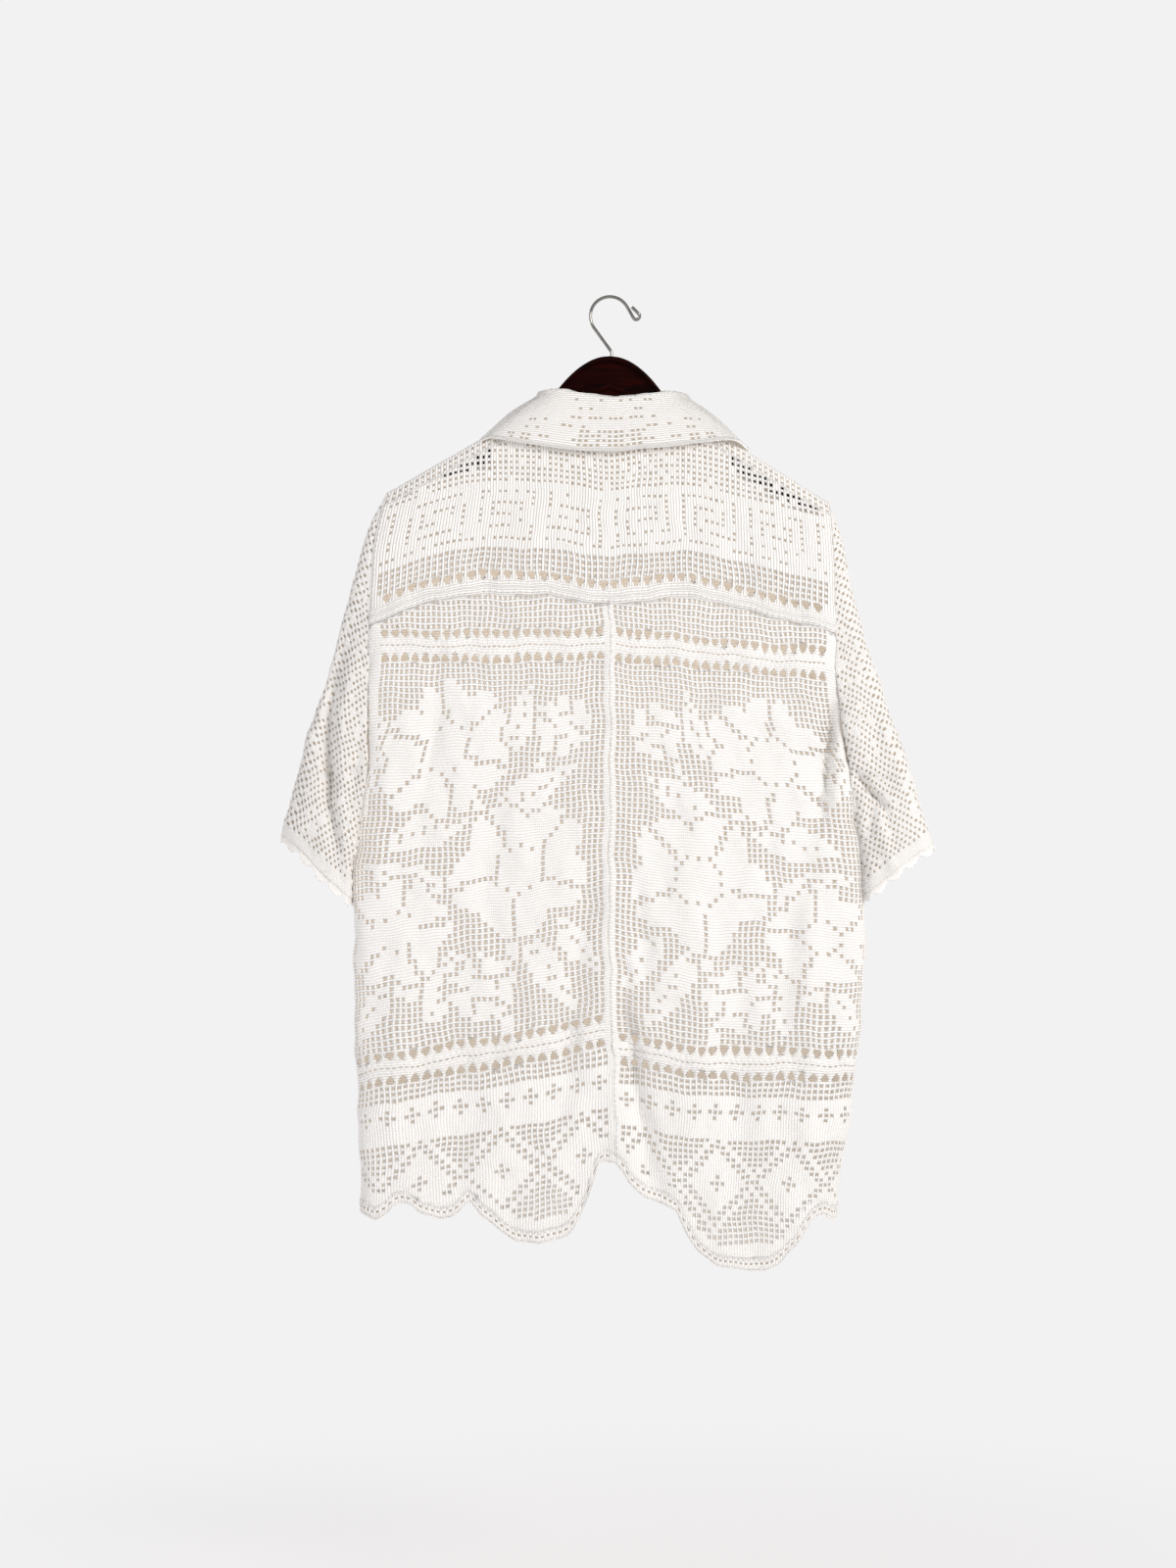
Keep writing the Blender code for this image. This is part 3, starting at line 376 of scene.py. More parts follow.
def body_point(s, drop, face, inset=0.0):
    """A point of the body. s goes from -1 at the wearer's left edge to 1 at the right one."""
    side = np.where(s < 0, -1, 1)
    centre = smooth(drop, CENTRE["drop"], CENTRE["x"])
    reach = np.abs(edge_x(drop, side) - centre)
    pit = np.where(side < 0, ARMPIT[LEFT], ARMPIT[RIGHT])
    armhole = ease((pit - drop) / ARMHOLE_FADE)
    depth = smooth(drop, DEPTH["drop"], DEPTH["back" if face == BACK else "front"])
    quarter = math.pi / 2 * np.sqrt((SIDE_ROUND**2 + depth**2) / 2)
    flat = (reach - SIDE_ROUND) / (reach - SIDE_ROUND + lerp(quarter, SIDE_ROUND, armhole))
    turned = np.clip((np.abs(s) - flat) / (1 - flat), 0, 1)
    angle = turned * math.pi / 2
    across = np.minimum(np.abs(s) / flat, 1) * (reach - SIDE_ROUND)
    rounding = lerp(np.sin(angle), turned, armhole)
    across = across + rounding * (SIDE_ROUND - inset * (1 - armhole))
    x = centre + side * across

    top, top_depth = neckline(x, face)
    below = np.maximum(drop - top, 0)
    covered = np.sqrt(1 - (1 - np.minimum(below / TOP_ROUND, 1)) ** 2)
    facing = squared(np.sin(angle), SIDE_POWER)
    over_wood = 1 - top_depth / NECK_DEPTH
    drop = drop + inset * over_wood * np.clip(1 - below / INSIDE_FADE, 0, 1)
    rim = rim_depth(drop, side, face, inset)
    top_depth = np.maximum(top_depth - inset, 0)
    away = top_depth * (1 - covered) + (depth - inset - rim) * facing * covered
    away = away + rim * lerp(1, covered, facing)
    window = (1 - turned**FOLD_EDGE) * np.minimum(below / TOP_ROUND, 1)
    away = away + GAP / 2 - fold_depth(x, drop, FOLDS[face]) * window
    return np.stack([x, face * away, -drop], axis=-1)


def course(name, s):
    """Drop of a named course at each s."""
    at = np.array([0, 1 / 3, 2 / 3, 1])
    left, right = (smooth(np.abs(s), at, np.array(COURSES[name][k], float)) for k in (LEFT, RIGHT))
    return np.where(s < 0, left, right)


def hem_drop(s, side):
    """Drop of the back's lower edge at each s."""
    x = body_point(s, np.full(np.shape(s), HEM_LEVEL), BACK)[..., 0]
    return np.interp(x, HEM[side]["x"], HEM[side]["drop"])


def top_drop(s, face):
    """Drop of each column's upper end, settled in a few rounds because a column leans."""
    drop = np.full(np.shape(s), SHOULDER_LEVEL)
    for _ in range(TOP_ROUNDS):
        drop = neckline(body_point(s, drop, face)[..., 0], face)[0]
    return drop


def spread(start, end, steps):
    """Even steps between two courses, without the first one."""
    return [lerp(start, end, k / steps) for k in range(1, steps + 1)]


def front_grid(side, drops, s, inset):
    """Points of a front. The wearer's right front steps in under the left one at the lap."""
    points = body_point(s, drops, FRONT, inset)
    if side == RIGHT:
        centre = smooth(drops, CENTRE["drop"], CENTRE["x"])
        under = 1 - ease((points[..., 0] - centre - LAP - LAP_REST) / LAP_FADE)
        points[..., 1] -= under * (WALL + LAP_GAP)
    return points


def front_columns(side):
    """How far out a front's columns lie: from its lap to its edge, one at the neck's corner."""
    start = float(CENTRE["x"][0])
    lap = LAP / abs(SHOULDER_END[side] - start)
    corner = abs(NECK_X + side * NECK_WIDTH - start) / abs(SHOULDER_END[side] - start)
    inside = corner * np.array(NECK_COLUMNS)
    beyond = np.linspace(corner + PAST_CORNER, 1, FRONT_COLUMNS)
    return np.concatenate([[-lap, 0.0], inside, beyond])


def sleeve_depth(side, x, drop, face):
    """How far a sleeve's wall stands off its mid plane."""
    lines = SLEEVE[side]
    outer = smooth(drop, lines["drop"], lines["x"])
    width = edge_x(drop, side) - outer
    width = np.where(np.abs(width) < SLEEVE_NARROWEST, -side * SLEEVE_NARROWEST, width)
    across = np.clip((x - outer) / width, 0, 1)
    seam = rim_depth(drop, side, face, 0.0)
    underarm = UNDERARM[face] * ease_between(drop - ARMPIT[side], UNDERARM_OPENS)
    if side == LEFT:
        underarm = underarm * (1 - UNDERARM_SINKS * ease_between(drop, UNDERARM_LOW))
    rim = np.maximum(seam, underarm)
    full = np.maximum(rim, seam + SLEEVE_FULLNESS[face] * ease_between(drop, SLEEVE_OPENS))
    crown = lerp(1.0, 0.5, ease_between(drop, CROWN_NARROWS))
    rising = full * squared(1 - across / crown, RIM_POWER)
    inwards = (across - crown) / np.maximum(1 - crown, 1e-6)
    falling = rim + (full - rim) * squared(inwards, SLEEVE_POWER)
    depth = np.where(across <= crown, rising, falling)
    window = np.sin(math.pi * np.clip(across, 0, 1)) ** 0.5
    creased = depth - fold_depth(x, drop, SLEEVE_FOLDS[side]) * window * (face == BACK)
    return np.maximum(creased, np.minimum(depth, CREASED_LEAST))


def hang(x, drop):
    """From the hanger's own frame to the part's: a turn about the nail."""
    turn = HANGER_TILT
    return x * math.cos(turn) - drop * math.sin(turn), drop * math.cos(turn) + x * math.sin(turn)


def neck_edge(side, face):
    """The middle of the wall's edge round the neck, point by point as the panels have it."""
    if face == BACK:
        s = np.linspace(-1, 1, YOKE_COLUMNS)
        points = body_point(s, top_drop(s, BACK), BACK, WALL / 2)
    else:
        s = side * front_columns(side)
        points = front_grid(side, top_drop(s, FRONT), s, WALL / 2)
    return points[np.argsort(points[:, 0])]


def collar_paths(count):
    """The middle of the collar's wall at stations from one front end round to the other."""
    stations = np.arange(len(COLLAR["neck"]), dtype=float)
    at = np.linspace(0, len(stations) - 1, count)
    row = {name: smooth(at, stations, values) for name, values in COLLAR.items()}
    paths = []
    for side in (LEFT, RIGHT):
        half = []
        for k in range(len(at)):
            face = BACK if row["face"][k] <= 0 else FRONT
            neck_x = NECK_X + side * NECK_WIDTH * min(row["neck"][k], 1)
            x, y, z = neck_edge(side, face).T
            neck_drop = -np.interp(neck_x, x, z) - COLLAR_SEAM[face]
            spots = [(neck_x, np.interp(neck_x, x, y), neck_drop)]
            if abs(row["face"][k]) < AT_SHOULDER:
                spots = [(neck_x, 0.0, float(shoulder(neck_x)) - COLLAR_SEAM[FRONT])]
            lift = COLLAR_LIFT * (side == RIGHT) * ease(at[k])
            lift = lift * (1 - ease_between(at[k], LIFT_FADES))
            for part, raised in (("fold", 0.0), ("fall", FALL_LIFT * lift), ("edge", lift)):
                x, low = hang(COLLAR_X + side * row[part + "_x"][k], row[part][k])
                spots.append((x, row[part + "_y"][k], low - raised))
            neck, fold, fall, edge = (np.array(p) for p in spots)
            out = np.array([edge[0] - fold[0], edge[1] - fold[1], 0.0])
            out /= np.linalg.norm(out)
            foot = np.array([0, 0, FOLD_FOOT])
            before, after = fold - COLLAR_FOLD * out + foot, fold + COLLAR_FOLD * out + foot
            share, crest = FOLD_CREST
            aside, crest = share * COLLAR_FOLD * out, np.array([0, 0, crest])
            turn_in, turn_out = fold - aside + crest, fold + aside + crest
            path = [neck, lerp(neck, before, 0.5), before, turn_in, turn_out, after]
            path += [lerp(after, fall, 0.5), fall, lerp(fall, edge, 0.5), edge]
            half.append(np.array(path))
        paths.append(half)
    left, right = paths
    return np.array(left[::-1] + right[1:])


# The hook's wire from the wood to its tip: straight runs by length, bends by radius and turn in
# degrees (to the left when positive), and how far the wire moves aside on the way.
HOOK = (
    {"run": 2.0},
    {"radius": 6.0, "turn": 36},
    {"run": 27.85},
    {"radius": HOOK_ROUND, "turn": -186},
    {"run": 13.5},
    {"radius": HOOK_CURL, "turn": 195, "aside": HOOK_ASIDE},
    {"run": 9.5},
)
HOOK_STEP = 4  # degrees of a bend to each straight piece of the wire


def hook_path():
    """The middle of the hook's wire, point by point, in the hanger's own frame."""
    x, y, drop, heading = 0.0, 0.0, HANGER["top"][0] - GAP, 90.0
    points = [(x, y, drop)]
    for part in HOOK:
        turn = part.get("turn", 0)
        steps = max(1, round(abs(turn) / HOOK_STEP))
        chord = 2 * part.get("radius", 0) * math.sin(math.radians(abs(turn) / steps) / 2)
        length = part.get("run", chord)
        for _ in range(steps):
            heading += turn / steps / 2
            x += length * math.cos(math.radians(heading))
            drop -= length * math.sin(math.radians(heading))
            y -= part.get("aside", 0) / steps
            heading += turn / steps / 2
            points.append((x, y, drop))
    return points


# --- how the cloth is worked ---

CLOTH_OUT, CLOTH_IN = 0.1, 1.9  # the net's two faces, measured in from the outside of the wall
MESH = 5.8  # height of a cell of the net, a hole and the bars round it
BACK_CELLS = 46  # cells across a lower back panel, beyond its half of the centre ridge
YOKE_CELLS = 80
FRONT_CELLS = 46
LAP_CELLS = 2  # and on a front's lap
LAP_BORDER = 3  # closed cells of a front beside its lap
UPPER_COURSES = 7  # courses of a lower back above the second band
MAIN_COURSES = 66  # between the second and the third band
LOWER_COURSES = 34  # and below the third
YOKE_COURSES = 28
YOKE_RIB = 0.95  # how far every second column of the yoke stands proud
YOKE_PLAIN = 12  # lines at the yoke's lower edge without such ribs
FRONT_TOP = 66.0  # drop of the highest course of a front
FRONT_UPPER = 41  # courses above its first band
FRONT_COURSE = 5.5  # height of the courses between its bands
# Where the yoke's net is worked looser, over the hanger: courses above the keys, cells across.
SHEER = (
    (2, 6, -30, -21), (7, 9, -19, -16), (4, 7, 22, 24), (3, 6, 24, 28), (1, 5, 28, 33),
    (0, 3, 33, 38),
)
PIN_HALF = 1.3  # half the height of the course of pinholes in the middle of a band
BAND_SWELL = (0.1, 0.8)  # share of a band's raise on its outer lines and on its middle ones
YOKE_SWELL = 0.75  # and on the middle ones of the yoke's band
PICOT = 4.6  # spacing of the fine loops along an edge
PICOT_REACH = (0.5, 1.5)  # how far out they start, and how far they reach beyond that
PICOT_ROUND = 0.7  # roundness of a loop, rounder when smaller
PICOT_THIN = 0.25  # share of the wall's thickness that they lose on each side
PICOT_ROWS = (0.2, 0.3, 0.4)  # places in a course whose rib their three lines show
CUFF_SCALLOP = 21.0  # spacing of the scallops of a cuff
CUFF_REACH = 6.4  # and how far they reach out
BORDER = (13.0, 9.0, 4.2, 1.0)  # edges of the hem's border, measured up from the hem
BORDER_FADE = 1.1  # courses above that border that are closed
TOP_LINES = (0, 0.8, 2.6, 8.2, 13.8)  # courses that follow the shoulder line and the neck
EDGE_CELLS = 2  # closed cells at the outer edge of a panel

# What each cell of a net is.
SKIP, SOLID, OPEN, LINED, PINHOLE, CLUSTER, EYELET_DOWN, EYELET_UP = range(8)

# Where each piece's chance starts, so that the pieces differ and come out the same every time.
SEEDS = {
    "yoke chart": 5,
    "sleeve chart": 7,
    "yoke_net": 11,
    "back_net_left": 21,
    "back_net_right": 22,
    "back edging": 23,
    "front_net_left": 31,
    "front_net_right": 32,
    "front edging": 33,
    "sleeve_net_left": 41,
    "sleeve_net_right": 42,
    "sleeve edging": 43,
    "collar_rows": 51,
}

# Small waves over the whole cloth: lengths across and down, where they start, and their height.
RIPPLES = (
    (61, 240, 0.4, 0.75), (-37, 110, 2.1, 0.55), (23, 71, 4.0, 0.30), (140, 52, 1.2, 0.40),
    (17, -33, 5.1, 0.18),
)
# The courses and columns wander in the same way, across and down.
WANDER_ACROSS = ((190, 83, 0.7, 0.8), (71, -47, 2.9, 0.45), (-310, 31, 4.4, 0.3))
WANDER_DOWN = ((67, 330, 1.9, 0.9), (-29, 150, 0.2, 0.5), (143, -61, 3.3, 0.7))
HANGS_FREE = (50, 140)  # drops below the shoulder line over which the waves grow

# Corners of a cell, and of one that is two cells wide.
BOX4 = ((0, 0), (1, 0), (1, 1), (0, 1))
BOX6 = ((0, 0), (0.5, 0), (1, 0), (1, 1), (0.5, 1), (0, 1))


def chamfered(left, top, right, low, cut):
    """Eight corners of a hole whose corners are filled with yarn."""
    upper = ((left + cut, top), (right - cut, top), (right, top + cut), (right, low - cut))
    return (*upper, (right - cut, low), (left + cut, low), (left, low - cut), (left, top + cut))


def teardrop(flip):
    """Corners of an eyelet, two cells wide. Its broad end is at the top unless it is flipped."""
    half = ((0.07, 0.09), (0.24, 0.06), (0.35, 0.22), (0.34, 0.45), (0.21, 0.70), (0.06, 0.93))
    right = [(0.5 + x, y) for x, y in half]
    left = [(0.5 - x, y) for x, y in half[::-1]]
    if not flip:
        return tuple(right + left)
    return tuple((x, 1 - y) for x, y in right[::-1] + left[::-1])


def grown(loop, share):
    """A loop of corners at this share of its size."""
    return tuple((0.5 + (u - 0.5) * share, 0.5 + (v - 0.5) * share) for u, v in loop)


def eyelet(flip):
    """A pair of cells with one eyelet that is open through the wall."""
    drop = teardrop(flip)
    wide = grown(drop, EYELET_FLARE)
    return 2, BOX6, [(wide, 0, 0.3), (drop, 0.5, 0), (wide, 1, 0)], None


HOLE = chamfered(0.21, 0.20, 0.79, 0.80, 0.15)
PIN = chamfered(0.31, 0.18, 0.69, 0.82, 0.14)
CUSHION = chamfered(0.16, 0.14, 0.84, 0.86, 0.18)
UNEVEN = 0.28  # how far the hand-made stitches stray
UNEVEN_WAY = (1, 0.3, 1)  # share of that across, in depth and down
HOLE_SHIFT = 0.035  # how far a hole lies from the middle of its cell, in cells
EYELET_STRAY = (0.88, 1.08)  # how much the eyelets differ in size
EYELET_FLARE = 1.07  # how much wider they are at the two faces
HOLE_FLOOR = 0.85  # how deep in the wall a blind hole ends
# The least height and width of a cell that can hold what it is.
LEAST = {PINHOLE: (1.4, 3.0), CLUSTER: (3.0, 3.0), EYELET_DOWN: (7.0, 3.0), EYELET_UP: (7.0, 3.0)}
# Numbers of a net's materials: outside, inside (painted darker as shade, with a painted glow), and
# at the bottom of a blind hole (painted shade).
FACE, INSIDE, SHADE = range(3)

# Each kind of cell: its width in cells, its corners, its loops of points from the outer edge to the
# inner one, and the height of the raised point that closes it. A loop has its corners, how deep it
# is in the wall, and how far it stands proud in millimetres.
CELLS = {
    OPEN: (1, BOX4, [(grown(HOLE, 0.8), 0.12, 0.0)], None),
    LINED: (1, BOX4, [(grown(HOLE, 0.78), 0.2, 0.0)], None),
    PINHOLE: (1, BOX4, [(PIN, 0.22, 0.0)], None),
    SOLID: (1, BOX4, [], 0.28),
    CLUSTER: (1, BOX4, [(CUSHION, 0.0, 0.55)], 0.85),
    EYELET_DOWN: eyelet(False),
    EYELET_UP: eyelet(True),
}


def turn_of(point):
    """Direction of a corner from the cell's middle, counted from the cell's first corner."""
    return (math.atan2(point[1] - 0.5, point[0] - 0.5) + 3 * math.pi / 4 + 1e-9) % (2 * math.pi)


def bridge(outside, inside):
    """Triangles between two loops of corners, as numbers into the one and then the other."""
    n, m = len(outside), len(inside)
    a = [turn_of(p) for p in outside] + [2 * math.pi]
    start = min(range(m), key=lambda k: turn_of(inside[k]))
    order = [(start + k) % m for k in range(m)]
    b = [turn_of(inside[k]) for k in order] + [2 * math.pi + turn_of(inside[order[0]])]
    i = j = 0
    made = []
    while i < n or j < m:
        if j == m or (i < n and a[i + 1] <= b[j + 1]):
            made.append((i % n, (i + 1) % n, n + order[j % m]))
            i += 1
        else:
            made.append((i % n, n + order[(j + 1) % m], n + order[j % m]))
            j += 1
    return made


class Net:
    """The faces of one crocheted piece, gathered cell by cell between an outer and an inner grid.

    lined makes every hole blind, hole is the size of the holes, stray how much that differs, least
    the smallest cell that has a hole, and turned the courses whose ribs run down the cloth.
    """

    lined, hole, stray, least, turned = False, (1.0, 1.0), (0.88, 1.1), 3.4, (0, 0)

    def __init__(self, outer, inner, kinds, across, down, seed, **how):
        vars(self).update(how)
        self.random = np.random.default_rng(seed)
        both = np.concatenate([outer, inner], axis=-1).reshape(-1, 6)
        both = np.round(both, 3)
        first, ident = np.unique(both, axis=0, return_index=True, return_inverse=True)[1:]
        self.ident = ident.reshape(outer.shape[:2])
        self.half = len(first)
        self.count = 2 * self.half
        self.across, self.down = across, down
        uv = np.stack([across, down], axis=-1).reshape(-1, 2)[first]
        uneven = self.random.uniform(-UNEVEN, UNEVEN, (self.half, 3)) * UNEVEN_WAY
        self.points = [grid.reshape(-1, 3)[first] + uneven for grid in (outer, inner)]
        self.outer, self.inner = (points[self.ident] for points in self.points)
        self.uv = [uv, uv]
        self.faces = []
        self.edges = []
        kinds = self.mended(kinds)
        for kind in CELLS:
            rows, columns = np.nonzero(kinds == kind)
            if len(rows):
                self.add(kind, rows, columns)
        self.close_edges()

    def mended(self, kinds):
        """Fills cells that are cut too short or narrow for their hole and drops the empty ones."""
        kinds = kinds.copy()
        mid = (self.outer + self.inner) / 2
        tall = np.linalg.norm(np.diff(mid, axis=0), axis=-1)
        wide = np.linalg.norm(np.diff(mid, axis=1), axis=-1)
        tall = np.minimum(tall[:, 1:], tall[:, :-1])
        wide = np.minimum(wide[1:], wide[:-1])
        small = (tall < self.least) | (wide < self.least)
        kinds[small & np.isin(kinds, (OPEN, LINED))] = SOLID
        for kind, (least_tall, least_wide) in LEAST.items():
            small = (tall < least_tall) | (wide < least_wide)
            if CELLS[kind][0] == 1:
                kinds[small & (kinds == kind)] = SOLID
                continue
            for r, c in zip(*np.nonzero(kinds == kind)):
                if small[r, c : c + 2].any():
                    kinds[r, c : c + 2] = SOLID
        i = self.ident
        gone = (i[:-1, :-1] == i[1:, :-1]) & (i[:-1, 1:] == i[1:, 1:])
        gone |= (i[:-1, :-1] == i[:-1, 1:]) & (i[1:, :-1] == i[1:, 1:])
        kinds[gone] = SKIP
        return kinds

    def add(self, kind, rows, columns):
        span, corners, loops, crown = CELLS[kind]
        i = self.ident
        ends = [(rows + int(v), columns + int(span * u)) for u, v in corners]
        edge = np.stack([i[r, c] for r, c in ends], axis=1)
        self.edges.append(np.stack([edge, np.roll(edge, -1, axis=1)], axis=-1).reshape(-1, 2))
        square = [k for k in range(len(ends)) if corners[k] in BOX4]
        out, into = ([grid[ends[k]] for k in square] for grid in (self.outer, self.inner))
        normal = sum(out) - sum(into)
        normal /= np.maximum(np.linalg.norm(normal, axis=-1, keepdims=True), 1e-9)
        at = np.stack([self.across[ends[0]], self.down[ends[0]]], axis=-1)
        far = ends[square[2]]
        step = np.stack([self.across[far], self.down[far]], axis=-1) - at

        shift = self.random.uniform(-HOLE_SHIFT, HOLE_SHIFT, (len(rows), 1, 2))
        size = np.array(self.hole) * self.random.uniform(*self.stray, (len(rows), 1, 2))
        if kind in (EYELET_DOWN, EYELET_UP):
            size = self.random.uniform(*EYELET_STRAY, (len(rows), 1, 2))

        def place(points, depth, lift):
            points = np.broadcast_to(np.array(points, float), (len(rows), len(points), 2)).copy()
            if kind in (OPEN, LINED, EYELET_DOWN, EYELET_UP):
                points = 0.5 + (points + shift - 0.5) * size
            u, v = points[..., :1], points[..., 1:]
            spots = 0
            for grid, share in ((out, 1 - depth), (into, depth)):
                p, q, r, s = (corner[:, None] for corner in grid)
                spots = spots + share * lerp(lerp(p, q, u), lerp(s, r, u), v)
            spots = spots + lift * normal[:, None]
            ids = self.count + np.arange(spots.size // 3).reshape(spots.shape[:2])
            self.points.append(spots.reshape(-1, 3))
            where = at[:, None] + points * step[:, None]
            self.uv.append(where.reshape(-1, 2))
            self.count += ids.size
            return ids

        def join(outside, inside, triangles, side, backwards):
            both = np.concatenate([outside, inside], axis=1)
            faces = both[:, triangles].reshape(-1, 3)
            turned = np.repeat((rows >= self.turned[0]) & (rows < self.turned[1]), len(triangles))
            self.faces.append((faces[:, ::-1] if backwards else faces, side, turned))

        last, last_corners = edge, corners
        closed = self.lined or kind == LINED
        for points, depth, lift in loops[:2] if closed else loops:
            ring = place(points, depth, lift)
            side = FACE if depth < 1 else INSIDE
            n = len(points)
            if len(last_corners) == n:
                between = [(k, (k + 1) % n, n + (k + 1) % n) for k in range(n)]
                between += [(k, n + (k + 1) % n, n + k) for k in range(n)]
            else:
                between = bridge(last_corners, points)
            join(last, ring, between, side, False)
            last, last_corners = ring, points
        inner_edge = edge + self.half
        if crown is None and not closed:
            join(inner_edge, last, bridge(corners, last_corners), INSIDE, True)
            return
        # A blind hole ends in a floor of painted shade; a cluster ends in a raised point of yarn.
        depth, lift, side = (HOLE_FLOOR, 0.0, SHADE) if crown is None else (0.0, crown, FACE)
        top = place(((0.5, 0.5),), depth, lift)
        n = len(last_corners)
        join(last, top, [(k, (k + 1) % n, n) for k in range(n)], side, False)
        fan = [(0, k, k + 1) for k in range(1, len(corners) - 1)]
        join(inner_edge, inner_edge, fan, INSIDE, True)

    def close_edges(self):
        """Joins the two faces along every edge that has cells on one side only."""
        edges = np.concatenate(self.edges)
        edges = edges[edges[:, 0] != edges[:, 1]]
        p, q = edges.T
        n = self.half
        lone = ~np.isin(p * n + q, q * n + p)
        p, q = p[lone], q[lone]
        for rim in ((q, p, p + n), (q, p + n, q + n)):
            self.faces.append((np.stack(rim, axis=1), FACE, np.zeros(len(p), bool)))

    def mesh(self, name):
        """The gathered faces as a mesh, without those that have shrunk to a line."""
        points = np.concatenate(self.points)
        faces = np.concatenate([f for f, _, _ in self.faces])
        side = np.concatenate([np.full(len(f), s) for f, s, _ in self.faces])
        turned = np.concatenate([t for _, _, t in self.faces])
        sound = (faces != np.roll(faces, 1, axis=1)).all(axis=1)
        faces, side, turned = faces[sound], side[sound], turned[sound]
        o, n = self.outer, self.inner
        facing = np.cross(o[:-1, 1:] - o[:-1, :-1], o[1:, :-1] - o[:-1, :-1])
        if (facing * (o - n)[:-1, :-1]).sum() < 0:
            faces = faces[:, ::-1]
        data = bpy.data.meshes.new(name)
        data.from_pydata((points * MM).tolist(), [], faces.tolist())
        data.polygons.foreach_set("material_index", side.astype(np.int32))
        where = np.concatenate(self.uv)[faces]
        where[turned] = where[turned][..., ::-1]
        layer = data.uv_layers.new(name="courses")
        layer.data.foreach_set("uv", where.ravel().astype(np.float32))
        data.shade_smooth()
        return data


def placed(name, data, finishes=()):
    """Puts an object with this data into the scene."""
    for finish in finishes:
        data.materials.append(finish)
    made = bpy.data.objects.new(name, data)
    bpy.context.scene.collection.objects.link(made)
    return made


def crochet_piece(name, outer, inner, kinds, finishes, across=None, down=None, extra=(), **how):
    """Makes a net into a piece, with any further nets, such as picots, in the same mesh."""
    if across is None:
        across, down = np.meshgrid(np.arange(outer.shape[1], dtype=float), courses_down(kinds))
    data = Net(outer, inner, kinds, across, down, SEEDS[name], **how).mesh(name)
    if extra:
        mesh = bmesh.new()
        mesh.from_mesh(data)
        for net in extra:
            more = net.mesh("more")
            mesh.from_mesh(more)
            bpy.data.meshes.remove(more)
        mesh.to_mesh(data)
        mesh.free()
        data.shade_smooth()
    return placed(name, data, finishes)


def wandering(x, drop, waves):
    """Sum of the waves of a table at each point."""
    return sum(h * np.sin(2 * math.pi * (x / a + drop / d) + start) for a, d, start, h in waves)


def walked_along(line):
    """How far along a line each of its points is."""
    return np.concatenate([[0], np.cumsum(np.linalg.norm(np.diff(line, axis=0), axis=1))])


def spots_along(line, walked, at):
    """The points at these distances along a line."""
    return np.stack([np.interp(at, walked, column) for column in line.T], axis=1)


def waved(points):
    """Lets the cloth wave and its courses wander, but not where it lies over the hanger."""
    x, drop = points[..., 0].copy(), -points[..., 2]
    free = ease_between(drop - shoulder(x), HANGS_FREE)
    points[..., 1] += free * wandering(x, drop, RIPPLES)
    points[..., 0] += free * wandering(x, drop, WANDER_ACROSS)
    points[..., 2] += free * wandering(x, drop, WANDER_DOWN)
    return points


# --- charts ---

LEAF_BELLY = 0.8  # a leaf is widest before its middle when this is under 1
VEIN_END = 0.9  # share of a leaf that its vein reaches
LINE_HALF = 0.55  # half the width of a vein and of the ring of holes in a flower
PETAL_SHARE = 0.30  # share of a flower's radius that its petals' ends are cut in
PETAL_ROUND = 0.6  # and how round they are
SPLIT_HALF = 0.62  # half the width of the gap between two petals
SPLIT_START = 0.42  # where that starts, as a share of the radius
RING = 0.34  # and where the ring of holes lies
STEM_HALF = 0.72  # half the width of a stalk
STEM_SPOTS = 60  # spots on a stalk's curve


def leaf(c, r, start, end, width):
    """Cells inside a pointed leaf, with a vein of holes along its middle."""
    (x0, y0), (x1, y1) = start, end
    length = math.hypot(x1 - x0, y1 - y0)
    along = ((c - x0) * (x1 - x0) + (r - y0) * (y1 - y0)) / length
    off = ((c - x0) * (y1 - y0) - (r - y0) * (x1 - x0)) / length
    t = np.clip(along / length, 0, 1)
    half = width / 2 * np.sin(math.pi * t**LEAF_BELLY)
    inside = (np.abs(off) < half) & (along > 0) & (along < length)
    vein = (np.abs(off) < LINE_HALF) & (np.round(along).astype(int) % 2 == 0) & (t < VEIN_END)
    return inside, inside & vein


def bloom(c, r, at, radius, petals, turn):
    """Cells inside an open flower, with holes between its petals and round its middle."""
    x, y = c - at[0], r - at[1]
    far = np.hypot(x, y)
    angle = np.arctan2(y, x) + turn
    wave = np.abs(np.cos(petals * angle / 2))
    inside = far < radius * (1 - PETAL_SHARE + PETAL_SHARE * wave**PETAL_ROUND)
    half = math.pi / petals
    near = np.abs(np.sin(half - np.abs(angle % (2 * half) - half)))
    split = (near * far < SPLIT_HALF) & (far > SPLIT_START * radius)
    ring = (np.abs(far - RING * radius) < LINE_HALF) & ((np.round(x) + np.round(y)) % 2 == 0)
    return inside, (split | ring) & inside


def stem(c, r, path):
    """Cells along a smooth stalk."""
    spots = np.arange(len(path), dtype=float)
    steps = np.linspace(0, 1, STEM_SPOTS) * (len(path) - 1)
    xs, ys = (smooth(steps, spots, np.array(line, float)) for line in zip(*path))
    far = np.min(np.hypot(c[..., None] - xs, r[..., None] - ys), axis=-1)
    return far < STEM_HALF


